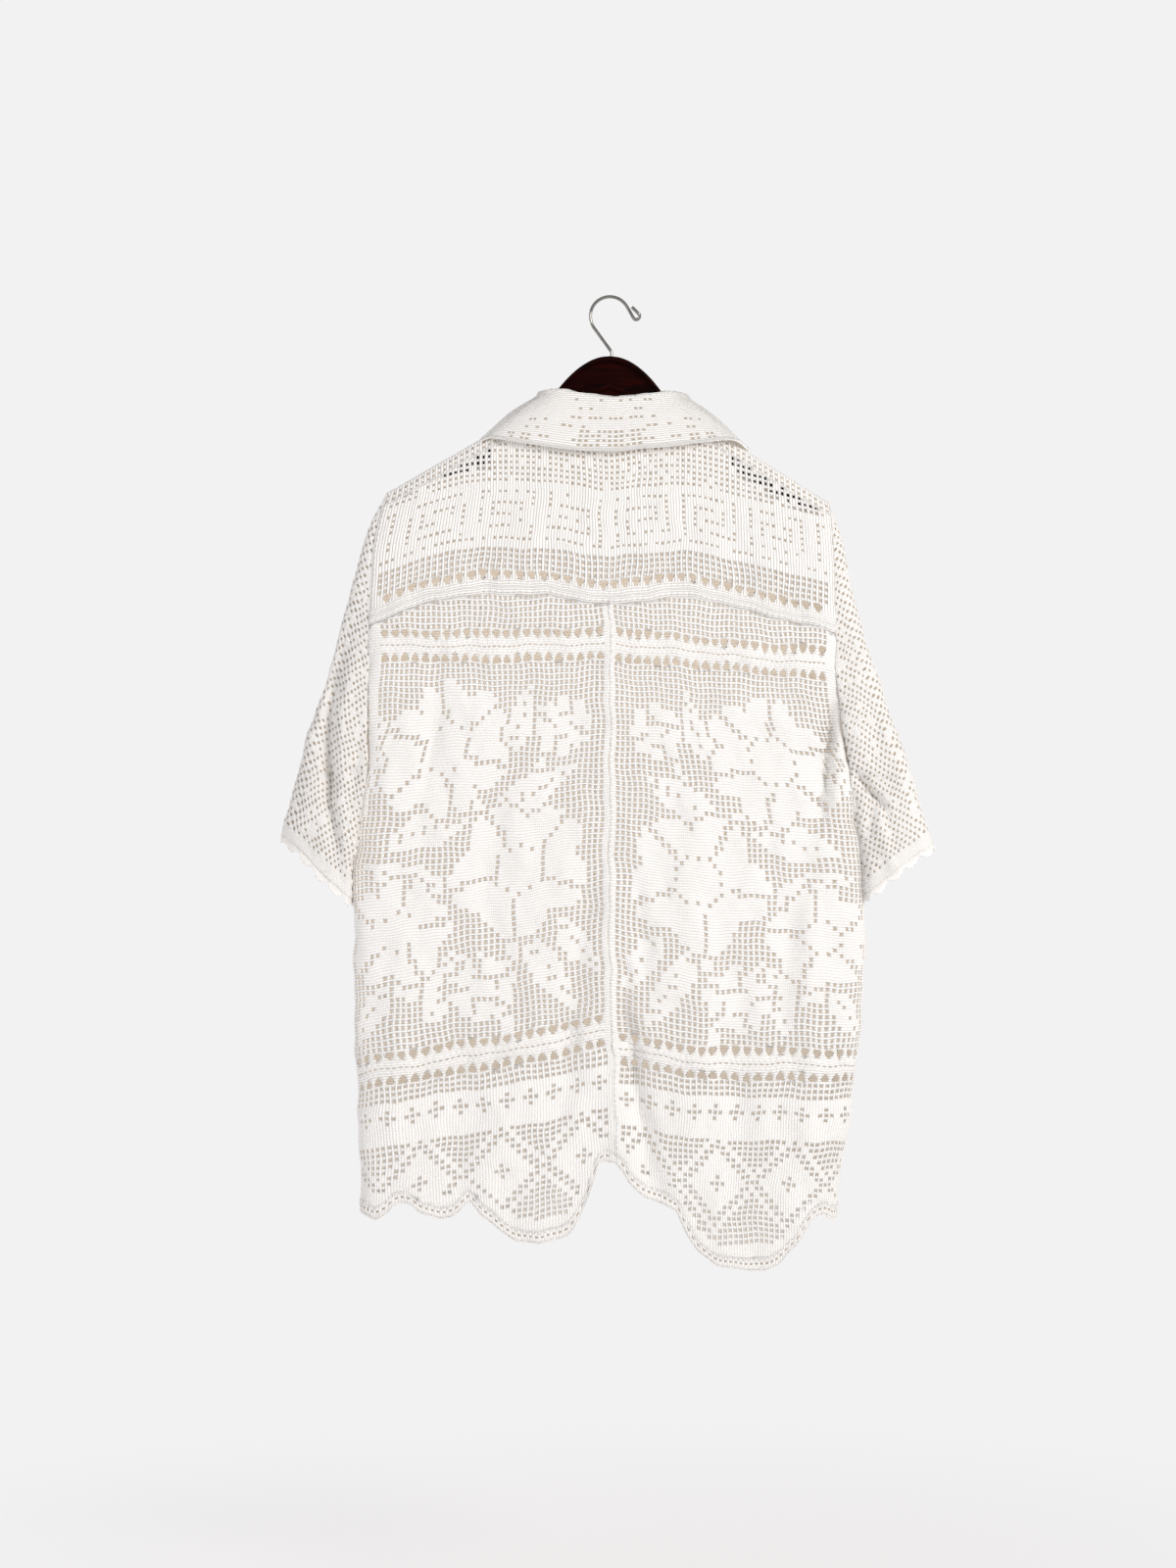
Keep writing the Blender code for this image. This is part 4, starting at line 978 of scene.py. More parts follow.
# The flowers of a lower back panel, in cells out from the centre seam and courses down: where a
# bloom lies, its radius, petals and turn; a leaf's foot, tip and width; the course of a stalk.
BLOOMS = (
    ((29.5, 15.0), 12.2, 6, 0.3), ((14.5, 37.0), 12.4, 5, -0.2), ((35.5, 46.0), 9.4, 5, 0.5),
    ((8.0, 11.5), 5.6, 4, 0.4), ((21.0, 57.5), 6.2, 5, 0.1),
)
LEAVES = (
    ((20, 27), (5, 19), 5.6), ((24, 27), (39, 31), 6.6), ((26, 40), (42, 34), 4.6),
    ((8, 47), (1, 58), 4.4), ((27, 51), (30, 64), 5.4), ((37, 55), (43, 64), 4.6),
    ((14, 49), (5, 64), 5.0), ((18, 17), (14, 3), 4.6), ((40, 22), (44, 8), 4.0),
)
STEMS = (
    ((17, 65), (16, 50), (15, 40)), ((15, 30), (21, 26), (27, 20)), ((19, 27), (13, 20), (9, 13)),
    ((18, 53), (27, 51), (34, 48)), ((17, 62), (24, 60), (36, 56)),
)


FIELD_SHIFT = 0.6  # courses that the flowers of the wearer's right side lie lower


def flower_field(side):
    """The chart of the flowers between the second and the third band."""
    c, r = np.meshgrid(np.arange(BACK_CELLS) + 0.5, np.arange(MAIN_COURSES) + 0.5)
    r = r - FIELD_SHIFT * (side == RIGHT)
    filled = np.any([stem(c, r, path) for path in STEMS], axis=0)
    holes = np.zeros(c.shape, bool)
    shapes = [leaf(c, r, *row) for row in LEAVES] + [bloom(c, r, *row) for row in BLOOMS]
    for inside, inner_holes in shapes:
        rim = np.zeros_like(inside)
        for axis, step in ((0, 1), (0, -1), (1, 1), (1, -1)):
            rim |= np.roll(inside, step, axis=axis)
        filled &= ~(rim & ~inside)
        holes &= ~inside
        filled |= inside
        holes |= inner_holes
    return np.where(filled & ~holes, SOLID, OPEN)


# The key pattern of the yoke and the cross of the border, one repeat each: a dot is an open cell.
KEY = (
    "############",
    "#..........#",
    "#.########.#",
    "#.#......#.#",
    "#.#.####.#.#",
    "#.#.#....#.#",
    "#.#.######.#",
    "#.#........#",
    "#.##########",
    "............",
    "############",
)
CROSS = ("####", "##.#", "#...", "##.#", "####", "####")
KEYS_FROM = 4  # courses of net below the keys
# Share of the closed cells among and above the keys, and in the looser net.
CLOSED_KEYS, CLOSED_NET, CLOSED_SHEER = 0.2, 0.15, 0.12
BORDER_NET = 3  # courses of net above the border's crosses
LOZENGE = 14  # cells from one lozenge of the border to the next
LOZENGE_RIM = 8  # cells from its middle to the line round it
LOZENGE_HALF = (1, 6)  # and to the inner and the outer side of its ring


def charted(rows, r, c):
    """Which cells of these courses and columns are worked, where a pattern repeats."""
    return np.array([[rows[i % len(rows)][j % len(rows[0])] == "#" for j in c] for i in r])


def yoke_chart():
    """Courses counted up from the eyelets, cells counted out from the centre: net, keys, net."""
    c = np.abs(np.arange(YOKE_CELLS) - YOKE_CELLS // 2 + 0.5).astype(int)
    k = np.arange(YOKE_COURSES)[:, None]
    above = k - KEYS_FROM - len(KEY)
    chart = np.full((YOKE_COURSES, YOKE_CELLS), OPEN)
    closed = np.random.default_rng(SEEDS["yoke chart"]).random(chart.shape)
    keys = charted(KEY, range(len(KEY) - 1, -1, -1), c)
    chart[KEYS_FROM : KEYS_FROM + len(KEY)] = np.where(keys, SOLID, LINED)
    chart[above[:, 0] >= 0] = LINED
    chart[(above < 0) & (k >= KEYS_FROM) & (closed < CLOSED_KEYS)] = SOLID
    chart[(above >= 0) & (closed < CLOSED_NET)] = SOLID
    x = (np.arange(YOKE_CELLS) - YOKE_CELLS / 2 + 0.5)[None]
    for first, last, left, right in SHEER:
        here = (above >= first) & (above < last) & (x > left) & (x < right)
        chart[here & (closed > CLOSED_SHEER)] = OPEN
    chart[:, [0, -1]] = SOLID
    return chart


def border_row(k, cells):
    """A course of the lower border, counted down: net, a strip of crosses, then lozenges."""
    c = np.arange(cells)
    row = k - BORDER_NET - len(CROSS)
    if k < BORDER_NET:
        return np.full(cells, OPEN)
    if row < 0:
        return np.where(charted(CROSS, [k - BORDER_NET], c)[0], SOLID, OPEN)
    away = np.abs((c + 2) % LOZENGE - LOZENGE // 2) + abs(row - LOZENGE_RIM)
    ring = (away > LOZENGE_HALF[0]) & (away < LOZENGE_HALF[1])
    return np.where(ring | (away == LOZENGE_RIM) | (row == 0), SOLID, OPEN)


def band_lines(middle):
    """The edges of a band's courses and of the eyelets above and below it."""
    above = [middle - BAND_HALF - EYELET, middle - BAND_HALF, middle - PIN_HALF]
    return above + [middle + PIN_HALF, middle + BAND_HALF, middle + BAND_HALF + EYELET]


def eyelet_course(cells, first, last, kind):
    """A course of eyelets, two cells each, between solid ends."""
    row = np.full(cells, SOLID)
    for c in range(first, last, 2):
        row[c] = kind
        row[c + 1] = SKIP
    return row


def band_rows(kinds):
    """Which courses are mostly pinholes, as the middle of a band is."""
    return (kinds == PINHOLE).mean(axis=1) > 0.5


def courses_down(kinds):
    """Where each course starts, in stitches: eyelets are two tall and a course of pinholes half."""
    tall = np.ones(len(kinds))
    tall[np.isin(kinds, (EYELET_DOWN, EYELET_UP)).any(axis=1)] = 2
    tall[band_rows(kinds)] = 0.5
    return np.concatenate([[0], np.cumsum(tall)])


def band_courses(cells, first, last):
    """A band's courses, with the eyelets above and below it."""
    band = [np.full(cells, kind) for kind in (CLUSTER, PINHOLE, CLUSTER)]
    above, below = (eyelet_course(cells, first, last, kind) for kind in (EYELET_DOWN, EYELET_UP))
    return [above, *band, below]


def lift_bands(outer, kinds, face):
    """Raises the middle of the bands."""
    for r in np.nonzero(band_rows(kinds))[0]:
        outer[r : r + 2, :, 1] += face * BAND_SWELL[1] * BAND_RAISE
        outer[[r - 1, r + 2], :, 1] += face * BAND_SWELL[0] * BAND_RAISE


def close_some(row, cells, kinds=(OPEN,)):
    """Works these cells solid where they are of an open kind."""
    row[..., cells] = np.where(np.isin(row[..., cells], kinds), SOLID, row[..., cells])


def edging(name, outer, inner, way=(0, 0, -1), scallop=0.0):
    """A fine edging of small loops along an edge, scalloped or straight, as a net of its own."""
    way = np.array(way, float)
    middle = (outer + inner) / 2
    walked = walked_along(middle)
    at = np.arange(0, walked[-1], PICOT / 3)
    out, into = (spots_along(edge, walked, at) for edge in (outer, inner))
    foot, rise = PICOT_REACH
    reach = foot + rise * np.abs(np.sin(math.pi * at / PICOT)) ** PICOT_ROUND
    reach = (reach + scallop * np.abs(np.sin(math.pi * at / CUFF_SCALLOP)))[:, None]
    thin = PICOT_THIN * (out - into)
    grids = [
        np.array([e, e + 0.5 * reach * way, e - sign * thin + reach * way])
        for e, sign in ((out, 1), (into, -1))
    ]
    across, down = np.meshgrid(at / MESH, PICOT_ROWS)
    return Net(*grids, np.full((2, len(at) - 1), SOLID), across, down, SEEDS[name])


# --- the crocheted pieces ---


def panel_faces(s, drops, front=None):
    """The two faces of the back's net, or of the front on this side."""
    s = np.broadcast_to(s, drops.shape)
    faces = []
    for inset in (CLOTH_OUT, CLOTH_IN):
        points = front_grid(front, drops, s, inset) if front else body_point(s, drops, BACK, inset)
        faces.append(waved(points))
    return faces


def with_hem(lines, kinds, hem, hole):
    """Adds the hem's three courses, the middle one of holes, and makes arrays of it all."""
    lines = lines + [hem - up for up in BORDER[1:]]
    kinds = kinds + [np.full(len(kinds[0]), kind) for kind in (SOLID, hole, SOLID)]
    return np.array(lines), np.array(kinds)


def middles(line):
    """A course's line in the middle of each cell."""
    return (line[1:] + line[:-1]) / 2


def make_yoke(finishes):
    """The upper back: keys and net, with the first band and its eyelets along the lower edge."""
    s = np.linspace(-1, 1, YOKE_CELLS + 1)
    top = top_drop(s, BACK)
    low = course("yoke seam", s) - GAP / 2
    middle = low - BAND_HALF
    chart = yoke_chart()
    lines = [top + below for below in TOP_LINES]
    kinds = [np.full(YOKE_CELLS, kind) for kind in (SOLID, SOLID, LINED, LINED)]
    net_end = middle - BAND_HALF - EYELET
    for k in range(YOKE_COURSES - 1, -1, -1):
        lines.append(np.maximum(net_end - k * MESH, top + TOP_LINES[-1]))
        kinds.append(chart[k])
    lines += band_lines(middle)[1:5]
    kinds += band_courses(YOKE_CELLS, 2, YOKE_CELLS - 3)[:-1]
    kinds[-2][:] = SOLID
    drops, kinds = np.array(lines), np.array(kinds)
    close_some(kinds, [0, -1])
    outer, inner = panel_faces(s, drops)
    outer[-3:-1, :, 1] -= YOKE_SWELL * BAND_RAISE
    outer[len(TOP_LINES) : -YOKE_PLAIN, ::2, 1] -= YOKE_RIB
    how = {"hole": (0.93, 1.13), "stray": (0.7, 1.15), "turned": (0, len(kinds) - 3)}
    return crochet_piece("yoke_net", outer, inner, kinds, finishes, **how)


def make_lower_back(name, side, finishes):
    """A lower back panel: net, two bands, a field of flowers and a bordered, scalloped hem."""
    out = np.concatenate([[CENTRE_OFF], np.linspace(RIDGE, 1, BACK_CELLS + 1)])
    s = side * out
    cells = len(s) - 1
    seam = course("yoke seam", s) + GAP / 2
    hem = hem_drop(s, side)
    lines, kinds = [seam], []
    first = course("band 2", s) - BAND_HALF - EYELET
    for k in range(UPPER_COURSES - 1, -1, -1):
        lines.append(np.maximum(first - k * MESH, seam))
        kinds.append(np.full(cells, OPEN))
    lines += band_lines(course("band 2", s))[1:]
    kinds += band_courses(cells, 1, cells - 2)
    last = course("band 3", s) - BAND_HALF - EYELET
    lines += spread(lines[-1], last, MAIN_COURSES)
    kinds += [np.concatenate([[OPEN], row]) for row in flower_field(side)]
    lines += band_lines(course("band 3", s))[1:]
    kinds += band_courses(cells, 1, cells - 2)
    turned = len(lines) - 1
    start = lines[-1]
    reach = middles(hem) - BORDER[0]
    for k in range(LOWER_COURSES):
        lines.append(np.minimum(start + (k + 1) * MESH, hem - BORDER[0]))
        close = middles(lines[-1]) > reach - BORDER_FADE * MESH
        kinds.append(np.where(close, SOLID, border_row(k, cells)))
    drops, kinds = with_hem(lines, kinds, hem, LINED)
    kinds[:, 0] = SOLID
    close_some(kinds, slice(-EDGE_CELLS, None), (OPEN, PINHOLE))
    outer, inner = panel_faces(s, drops)
    lift_bands(outer, kinds, BACK)
    outer[:, 0, 1] -= RIDGE_RAISE
    for grid in (outer, inner):
        grid[:, 0, 0] += side * GAP / 2
    edges = edging("back edging", outer[-1, 1:], inner[-1, 1:])
    ribbed = (turned, len(kinds))
    return crochet_piece(name, outer, inner, kinds, finishes, extra=[edges], turned=ribbed)


def make_front(name, side, finishes):
    """A front: the back's net, bands, flowers and border in blind holes, closed at the lap."""
    lap = -front_columns(side)[0]
    overlap = np.linspace(-lap, 0, LAP_CELLS + 1)[:-1]
    out = np.concatenate([overlap, np.linspace(0, 1, FRONT_CELLS + 1)])
    s = side * out
    cells = len(s) - 1
    top = top_drop(s, FRONT)
    hem = hem_drop(side * np.maximum(out, CENTRE_OFF), side) - FRONT_HEM_LIFT
    plan = [(MESH, np.full(cells, OPEN))] * FRONT_UPPER
    cluster = BAND_HALF - PIN_HALF
    heights = (EYELET, cluster, 2 * PIN_HALF, cluster, EYELET)
    first = LAP_CELLS + LAP_BORDER + 1
    plan += zip(heights, band_courses(cells, first, cells - 2))
    for row in flower_field(side):
        plan.append((FRONT_COURSE, np.concatenate([np.full(LAP_CELLS, OPEN), row])))
    plan += zip(heights, band_courses(cells, first, cells - 2))
    plan += [(MESH, border_row(k, cells)) for k in range(LOWER_COURSES)]
    lines = [top + below for below in TOP_LINES]
    kinds = [np.full(cells, kind) for kind in (SOLID, SOLID, OPEN, OPEN)]
    level = FRONT_TOP
    for height, row in plan:
        level += height
        lines.append(np.clip(np.full(len(s), level), top + TOP_LINES[-1], hem - BORDER[0]))
        close = middles(lines[-1]) > middles(hem) - BORDER[0] - BORDER_FADE * MESH
        row = np.where(close & (row == OPEN), SOLID, row)
        for solid in (slice(0, LAP_CELLS + LAP_BORDER), slice(-EDGE_CELLS, None)):
            close_some(row, solid)
        kinds.append(row)
    drops, kinds = with_hem(lines, kinds, hem, OPEN)
    outer, inner = panel_faces(s, drops, side)
    lift_bands(outer, kinds, FRONT)
    edges = edging("front edging", outer[-1], inner[-1])
    return crochet_piece(name, outer, inner, kinds, finishes, extra=[edges], lined=True)


SLEEVE_LINES = (0.0, 0.7, 2.4, 5.2, 9.2, 14.2)  # columns near the outer outline, where it turns
SLEEVE_CELL = 3.1  # and the spacing of those beyond
SLEEVE_COURSE = 4.4  # spacing of the courses along the outer outline
SLEEVE_TAPER = 5.0  # depth over which the wall comes to its full thickness at the outer edge
SLEEVE_PLAIN = 3  # closed courses at the cuff
SLEEVE_CLOSED = 0.13  # share of the blind holes that are closed
OUTLINE_SPOTS = 400  # spots on the outline that the courses start from
COURSE_SPOTS = 500  # and along a course, where its end is looked for
COURSE_REACH = 1.6  # how far it is looked for, in lengths of the cuff


def sleeve_rows(side):
    """Where each course of a sleeve starts on the outer outline, its direction and its length."""
    lines = SLEEVE[side]
    low = CUFF_INNER[side]
    inner_x = edge_x(low, side) + side * SLEEVE_CLEAR
    cuff = np.array([inner_x - lines["x"][-1], low - lines["drop"][-1]])
    way = cuff / np.linalg.norm(cuff)
    fine = np.linspace(lines["drop"][-1], lines["drop"][0], OUTLINE_SPOTS)
    outline = np.stack([smooth(fine, lines["drop"], lines["x"]), fine], axis=1)
    walked = walked_along(outline)
    at = np.arange(0, walked[-1], SLEEVE_COURSE)
    at[-1] = walked[-1]
    starts = spots_along(outline, walked, at)
    reach = np.linspace(0, COURSE_REACH * np.linalg.norm(cuff), COURSE_SPOTS)
    lengths = []
    for start in starts:
        x, drop = start[:, None] + way[:, None] * reach
        below = ease_between(drop - ARMPIT[side], ARMHOLE_ENDS)
        clear = lerp(ARMHOLE_GAP, SLEEVE_CLEAR, below)
        past = side * (x - edge_x(drop, side)) < clear
        lengths.append(reach[np.argmax(past)] if past.any() else reach[-1])
    return starts, way, np.array(lengths)


def sleeve_half(side, face, inset):
    """One face of a sleeve's wall: courses from the cuff up, columns from the outline inwards."""
    starts, way, lengths = sleeve_rows(side)
    count = int(max(lengths) / SLEEVE_CELL) + len(SLEEVE_LINES) + 1
    offsets = np.concatenate([SLEEVE_LINES, SLEEVE_LINES[-1] + SLEEVE_CELL * np.arange(1, count)])
    d = np.minimum(offsets[None], lengths[:, None])
    x = starts[:, :1] + way[0] * d
    drop = starts[:, 1:] + way[1] * d
    depth = sleeve_depth(side, x, drop, face)
    depth = np.where(d <= 0, 0, np.maximum(depth, 0))
    depth = depth - inset * np.minimum(depth / SLEEVE_TAPER, 1)
    length = np.maximum(lengths[:, None], 1e-3)
    inner_d = np.minimum(inset, length / 2) + np.maximum(1 - inset / length, 0) * d
    x = starts[:, :1] + way[0] * inner_d
    return np.stack([x, face * depth, -(starts[:, 1:] + way[1] * inner_d)], axis=-1)


def make_sleeve(name, side, finishes):
    """A sleeve worked as one net round the arm, with a scalloped cuff."""
    grids = []
    for inset in (CLOTH_OUT, CLOTH_IN):
        back, front = (sleeve_half(side, face, inset) for face in (BACK, FRONT))
        grids.append(waved(np.concatenate([front[:, :0:-1], back], axis=1)))
    outer, inner = grids
    rows, columns = outer.shape[:2]
    r, c = np.indices((rows - 1, columns - 1))
    closed = np.random.default_rng(SEEDS["sleeve chart"]).random(r.shape) < SLEEVE_CLOSED
    kinds = np.where(((r + c) % 2 > 0) | closed, CLUSTER, LINED)
    kinds[:SLEEVE_PLAIN] = SOLID
    across, down = np.meshgrid(np.arange(columns) - columns / 2, np.arange(rows, dtype=float))
    starts = sleeve_rows(side)[0]
    low, above = starts[0], starts[SLEEVE_PLAIN]
    way = np.array([low[0] - above[0], 0, above[1] - low[1]])
    way = way / np.linalg.norm(way)
    edges = edging("sleeve edging", outer[0], inner[0], way, CUFF_REACH)
    how = {"hole": (1.9, 1.5), "stray": (0.7, 1.05), "least": 2.3}
    return crochet_piece(name, outer, inner, kinds, finishes, across, down, [edges], **how)


COLLAR_CELLS = 116
COLLAR_COURSES = 20
ROLLED_EDGE = 3.2  # width of the collar's rolled edge
ROLL_CREST = 0.6  # share of it from the roll's crest to the very edge
ROLL_SWELL = (-0.6, 0.4)  # how far the cloth sinks before the roll and swells at its crest
# Short rows of small openings in the collar's fall: course, how many cells out from the centre the
# row starts and ends, and one closed cell in so many.
COLLAR_HOLES = (
    (7, 1, 4, 2), (7, 6, 8, 3), (9, 4, 7, 4), (11, 0, 8, 4), (12, 11, 16, 3), (13, 5, 10, 3),
    (14, 0, 6, 6), (14, 12, 15, 4), (15, 0, 6, 7), (16, 0, 7, 6), (16, 9, 20, 3), (17, 0, 6, 7),
    (17, 12, 17, 3),
)


def make_collar(finishes):
    """The folded collar: close rows that follow its fold, and a doubled rolled edge."""
    paths = collar_paths(COLLAR_CELLS // 2 + 1)
    walked = np.linalg.norm(np.diff(paths, axis=1), axis=-1)
    walked = np.concatenate([np.zeros((len(paths), 1)), np.cumsum(walked, axis=1)], axis=1)
    middle = np.zeros((len(paths), COLLAR_COURSES + 1, 3))
    for k, (path, along) in enumerate(zip(paths, walked)):
        at = np.linspace(0, along[-1] - ROLLED_EDGE, COLLAR_COURSES - 1)
        at = np.concatenate([at, [along[-1] - ROLL_CREST * ROLLED_EDGE, along[-1]]])
        for axis in range(3):
            middle[k, :, axis] = smooth(at, along, path[:, axis])
    normal = np.cross(np.gradient(middle, axis=0), np.gradient(middle, axis=1))
    normal /= np.linalg.norm(normal, axis=-1, keepdims=True)
    walls = []
    for sign in (1, -1):
        points = middle + sign * (WALL / 2 - CLOTH_OUT) * normal
        for row, swell in zip((-3, -2), ROLL_SWELL):
            points[:, row] += sign * swell * normal[:, row]
        walls.append((points * (1, 1, -1)).transpose(1, 0, 2))
    cells = len(paths) - 1
    away = np.abs(np.arange(cells) - cells / 2 + 0.5)
    kinds = np.full((COLLAR_COURSES, cells), SOLID)
    for course_number, first, last, every in COLLAR_HOLES:
        row = (away >= first) & (away < last) & (np.arange(cells) % every > 0)
        kinds[course_number][row] = LINED
    return crochet_piece("collar_rows", *walls, kinds, finishes, hole=(1.45, 0.95), least=3.0)


# --- hanger and buttons ---


def corner(mesh, x, y, drop):
    """A corner of a mesh, at a place in millimetres."""
    return mesh.verts.new((x * MM, y * MM, -drop * MM))


def wall_between(mesh, rings):
    """Faces from each ring of corners to the next. A ring may be a single point."""
    for a, b in zip(rings, rings[1:]):
        count = max(len(a), len(b))
        for k in range(count):
            n = (k + 1) % count
            corners = (a[k % len(a)], a[n % len(a)], b[n % len(b)], b[k % len(b)])
            mesh.faces.new(list(dict.fromkeys(corners)))


def plain_piece(name, mesh, finishes, sharp=40):
    """A mesh without a net as a piece, with its edges above this many degrees kept sharp."""
    bmesh.ops.recalc_face_normals(mesh, faces=mesh.faces)
    data = bpy.data.meshes.new(name)
    mesh.to_mesh(data)
    mesh.free()
    data.shade_smooth()
    data.set_sharp_from_angle(angle=math.radians(sharp))
    return placed(name, data, finishes)


# Distances from the middle of the hanger to its sections, closer at the crown and at the ends.
WOOD_SECTIONS = (*range(0, 60, 3), *range(60, 200, 7), *HANGER["reach"][-2:], 206.5, 208.2)
CORNER_SPOTS = 6  # spots round each of the wood's long edges
CORNER_HEIGHTS = 2.2  # a section is at least this many times as high as its rounding
CORNER_SHARE = 0.9  # most that the rounding takes of half the thickness
NOTCH_WEB = (46, 5, 16)  # size of the thin web that closes the notch between the arms
WEB_LOW = 1.0  # how far its middle lies below the crown


def make_wood(finish):
    """The hanger's arms and crown, in rounded sections, with a thin web in the notch below."""
    mesh = bmesh.new()
    reach = np.unique(np.array(WOOD_SECTIONS, float))
    reach = np.concatenate([-reach[:0:-1], reach])
    rings = []
    for x in reach:
        section = (smooth(abs(x), HANGER["reach"], values) for values in HANGER.values())
        _, top, low, thick = map(float, section)
        half = thick / 2
        round_edge = min(WOOD_CORNER, (low - top) / CORNER_HEIGHTS, CORNER_SHARE * half)
        ring = []
        for sy, sz in ((-1, -1), (1, -1), (1, 1), (-1, 1)):
            turns = np.linspace(0, math.pi / 2, CORNER_SPOTS)
            if sy * sz < 0:
                turns = turns[::-1]
            for turn in turns:
                y = sy * (half - round_edge * (1 - math.sin(turn)))
                z = round_edge * (1 - math.cos(turn))
                px, drop = hang(x, low - z if sz > 0 else top + z)
                ring.append(corner(mesh, px, y, drop))
        rings.append(ring)
    wall_between(mesh, rings)
    for ring in (rings[0], rings[-1]):
        mesh.faces.new(ring)
    web = bmesh.ops.create_cube(mesh, size=1.0)["verts"]
    x, low = hang(0, HANGER["bottom"][0] + WEB_LOW)
    bmesh.ops.scale(mesh, verts=web, vec=Vector(NOTCH_WEB) * MM)
    bmesh.ops.translate(mesh, verts=web, vec=(x * MM, 0, -low * MM))
    return plain_piece("hanger_arms", mesh, [finish])


WIRE_SIDES = 14


def make_wire(finish):
    """The polished hook, a round wire swept along its path."""
    path = np.array(hook_path())
    mesh = bmesh.new()
    tangent = np.gradient(path, axis=0)
    tangent /= np.linalg.norm(tangent, axis=1, keepdims=True)
    rings = []
    aside = np.array([0.0, 1.0, 0.0])
    for spot, way in zip(path, tangent):
        first = np.cross(way, aside)
        first /= np.linalg.norm(first)
        second = np.cross(way, first)
        ring = []
        for j in range(WIRE_SIDES):
            turn = 2 * math.pi * j / WIRE_SIDES
            out = math.cos(turn) * first + math.sin(turn) * second
            ring.append(corner(mesh, *(spot + HOOK_WIRE / 2 * out)))
        rings.append(ring)
    wall_between(mesh, rings)
    mesh.faces.new(rings[0])
    mesh.faces.new(rings[-1])
    return plain_piece("hook_wire", mesh, [finish], 60)


# A button from its middle underneath round its rim to its middle on top: radius and height.
BUTTON_PROFILE = (
    (0.0, 0.0), (0.86, 0.0), (1.0, 0.25), (1.0, 0.75), (0.9, 1.0), (0.76, 0.98), (0.62, 0.72),
    (0.0, 0.66),
)
BUTTON_STEPS = 32
THREAD = (4.4, 0.7, 0.8)  # length, thickness and width of a stitch of the thread
THREAD_HEIGHT = 0.78  # where it lies, in the thickness of the button


def make_button(number, drop, finishes):
    """A turned button with a raised rim, sewn on with a cross of thread."""
    x, y, _ = body_point(np.array(CENTRE_OFF), np.array(drop), FRONT)
    base = float(y) + BUTTON_STANDS_OFF
    mesh = bmesh.new()
    rings = []
    for radius, height in BUTTON_PROFILE:
        ring = []
        for k in range(BUTTON_STEPS if radius else 1):
            turn = 2 * math.pi * k / BUTTON_STEPS
            px = float(x) + BUTTON_RADIUS * radius * math.cos(turn)
            low = drop - BUTTON_RADIUS * radius * math.sin(turn)
            ring.append(corner(mesh, px, base + BUTTON_THICKNESS * height, low))
        rings.append(ring)
    wall_between(mesh, rings)
    turned = len(mesh.faces)
    middle = Vector((x, base + THREAD_HEIGHT * BUTTON_THICKNESS, -drop))
    for slant in (-1, 1):
        place = Matrix.Translation(middle * MM) @ Matrix.Rotation(slant * math.pi / 4, 4, "Y")
        place = place @ Matrix.Diagonal((*(Vector(THREAD) * MM), 1.0))
        bmesh.ops.create_cube(mesh, size=1.0, matrix=place)
    mesh.faces.ensure_lookup_table()
    for face in mesh.faces[turned:]:
        face.material_index = 1
    return plain_piece(f"sewn_button_{number}", mesh, finishes)


# --- materials ---

RIBS, POSTS = 2, 3  # ribs to a course and posts to a cell
TWIST = 620.0  # to the metre: twist 1.6 mm apart, coarser than the real one, which hardly shows
PATCHES = 16.0  # to the metre: soft patches of tone, about 60 mm apart
HEM_TONE = (-0.70, -0.80)  # metres of height over which the inside takes its tone at the hem
# To the metre: grain 4 mm apart and 55 mm long, coarser than the real pores, which hardly show.
GRAIN = (18.0, 260.0, 260.0)
WEAR = 180.0  # to the metre: wear of the steel, about 5.5 mm apart
CLOUDS = 240.0  # to the metre: clouds of the pearl, about 4 mm apart


def linear(colour):
    """Linear values of an sRGB hex colour."""
    parts = (int(colour[k : k + 2], 16) / 255 for k in (1, 3, 5))
    return tuple(c / 12.92 if c <= 0.04045 else ((c + 0.055) / 1.055) ** 2.4 for c in parts)


def set_node(node, settings, links=None):
    """Gives a node's properties or sockets their values and links the others. What is linked is an
    output, or a node for its first output."""
    for key, value in settings.items():
        if isinstance(value, str) and value[0] == "#":
            value = (*linear(value), 1.0)
        if isinstance(key, str) and hasattr(node, key):
            setattr(node, key, value)
        else:
            node.inputs[key].default_value = value
    for key, source in (links or {}).items():
        output = getattr(source, "outputs", [source])[0]
        node.id_data.links.new(output, node.inputs[key])
    return node


def add_node(tree, kind, settings, links=None):
    """Adds a node with its settings and links."""
    return set_node(tree.nodes.new(kind), settings, links)


def new_material(name):
    """A material, its nodes, its shader and the output for places on the object."""
    made = bpy.data.materials.new(name)
    made.use_nodes = True
    tree = made.node_tree
    place = add_node(tree, "ShaderNodeTexCoord", {}).outputs["Object"]
    return made, tree, tree.nodes["Principled BSDF"], place


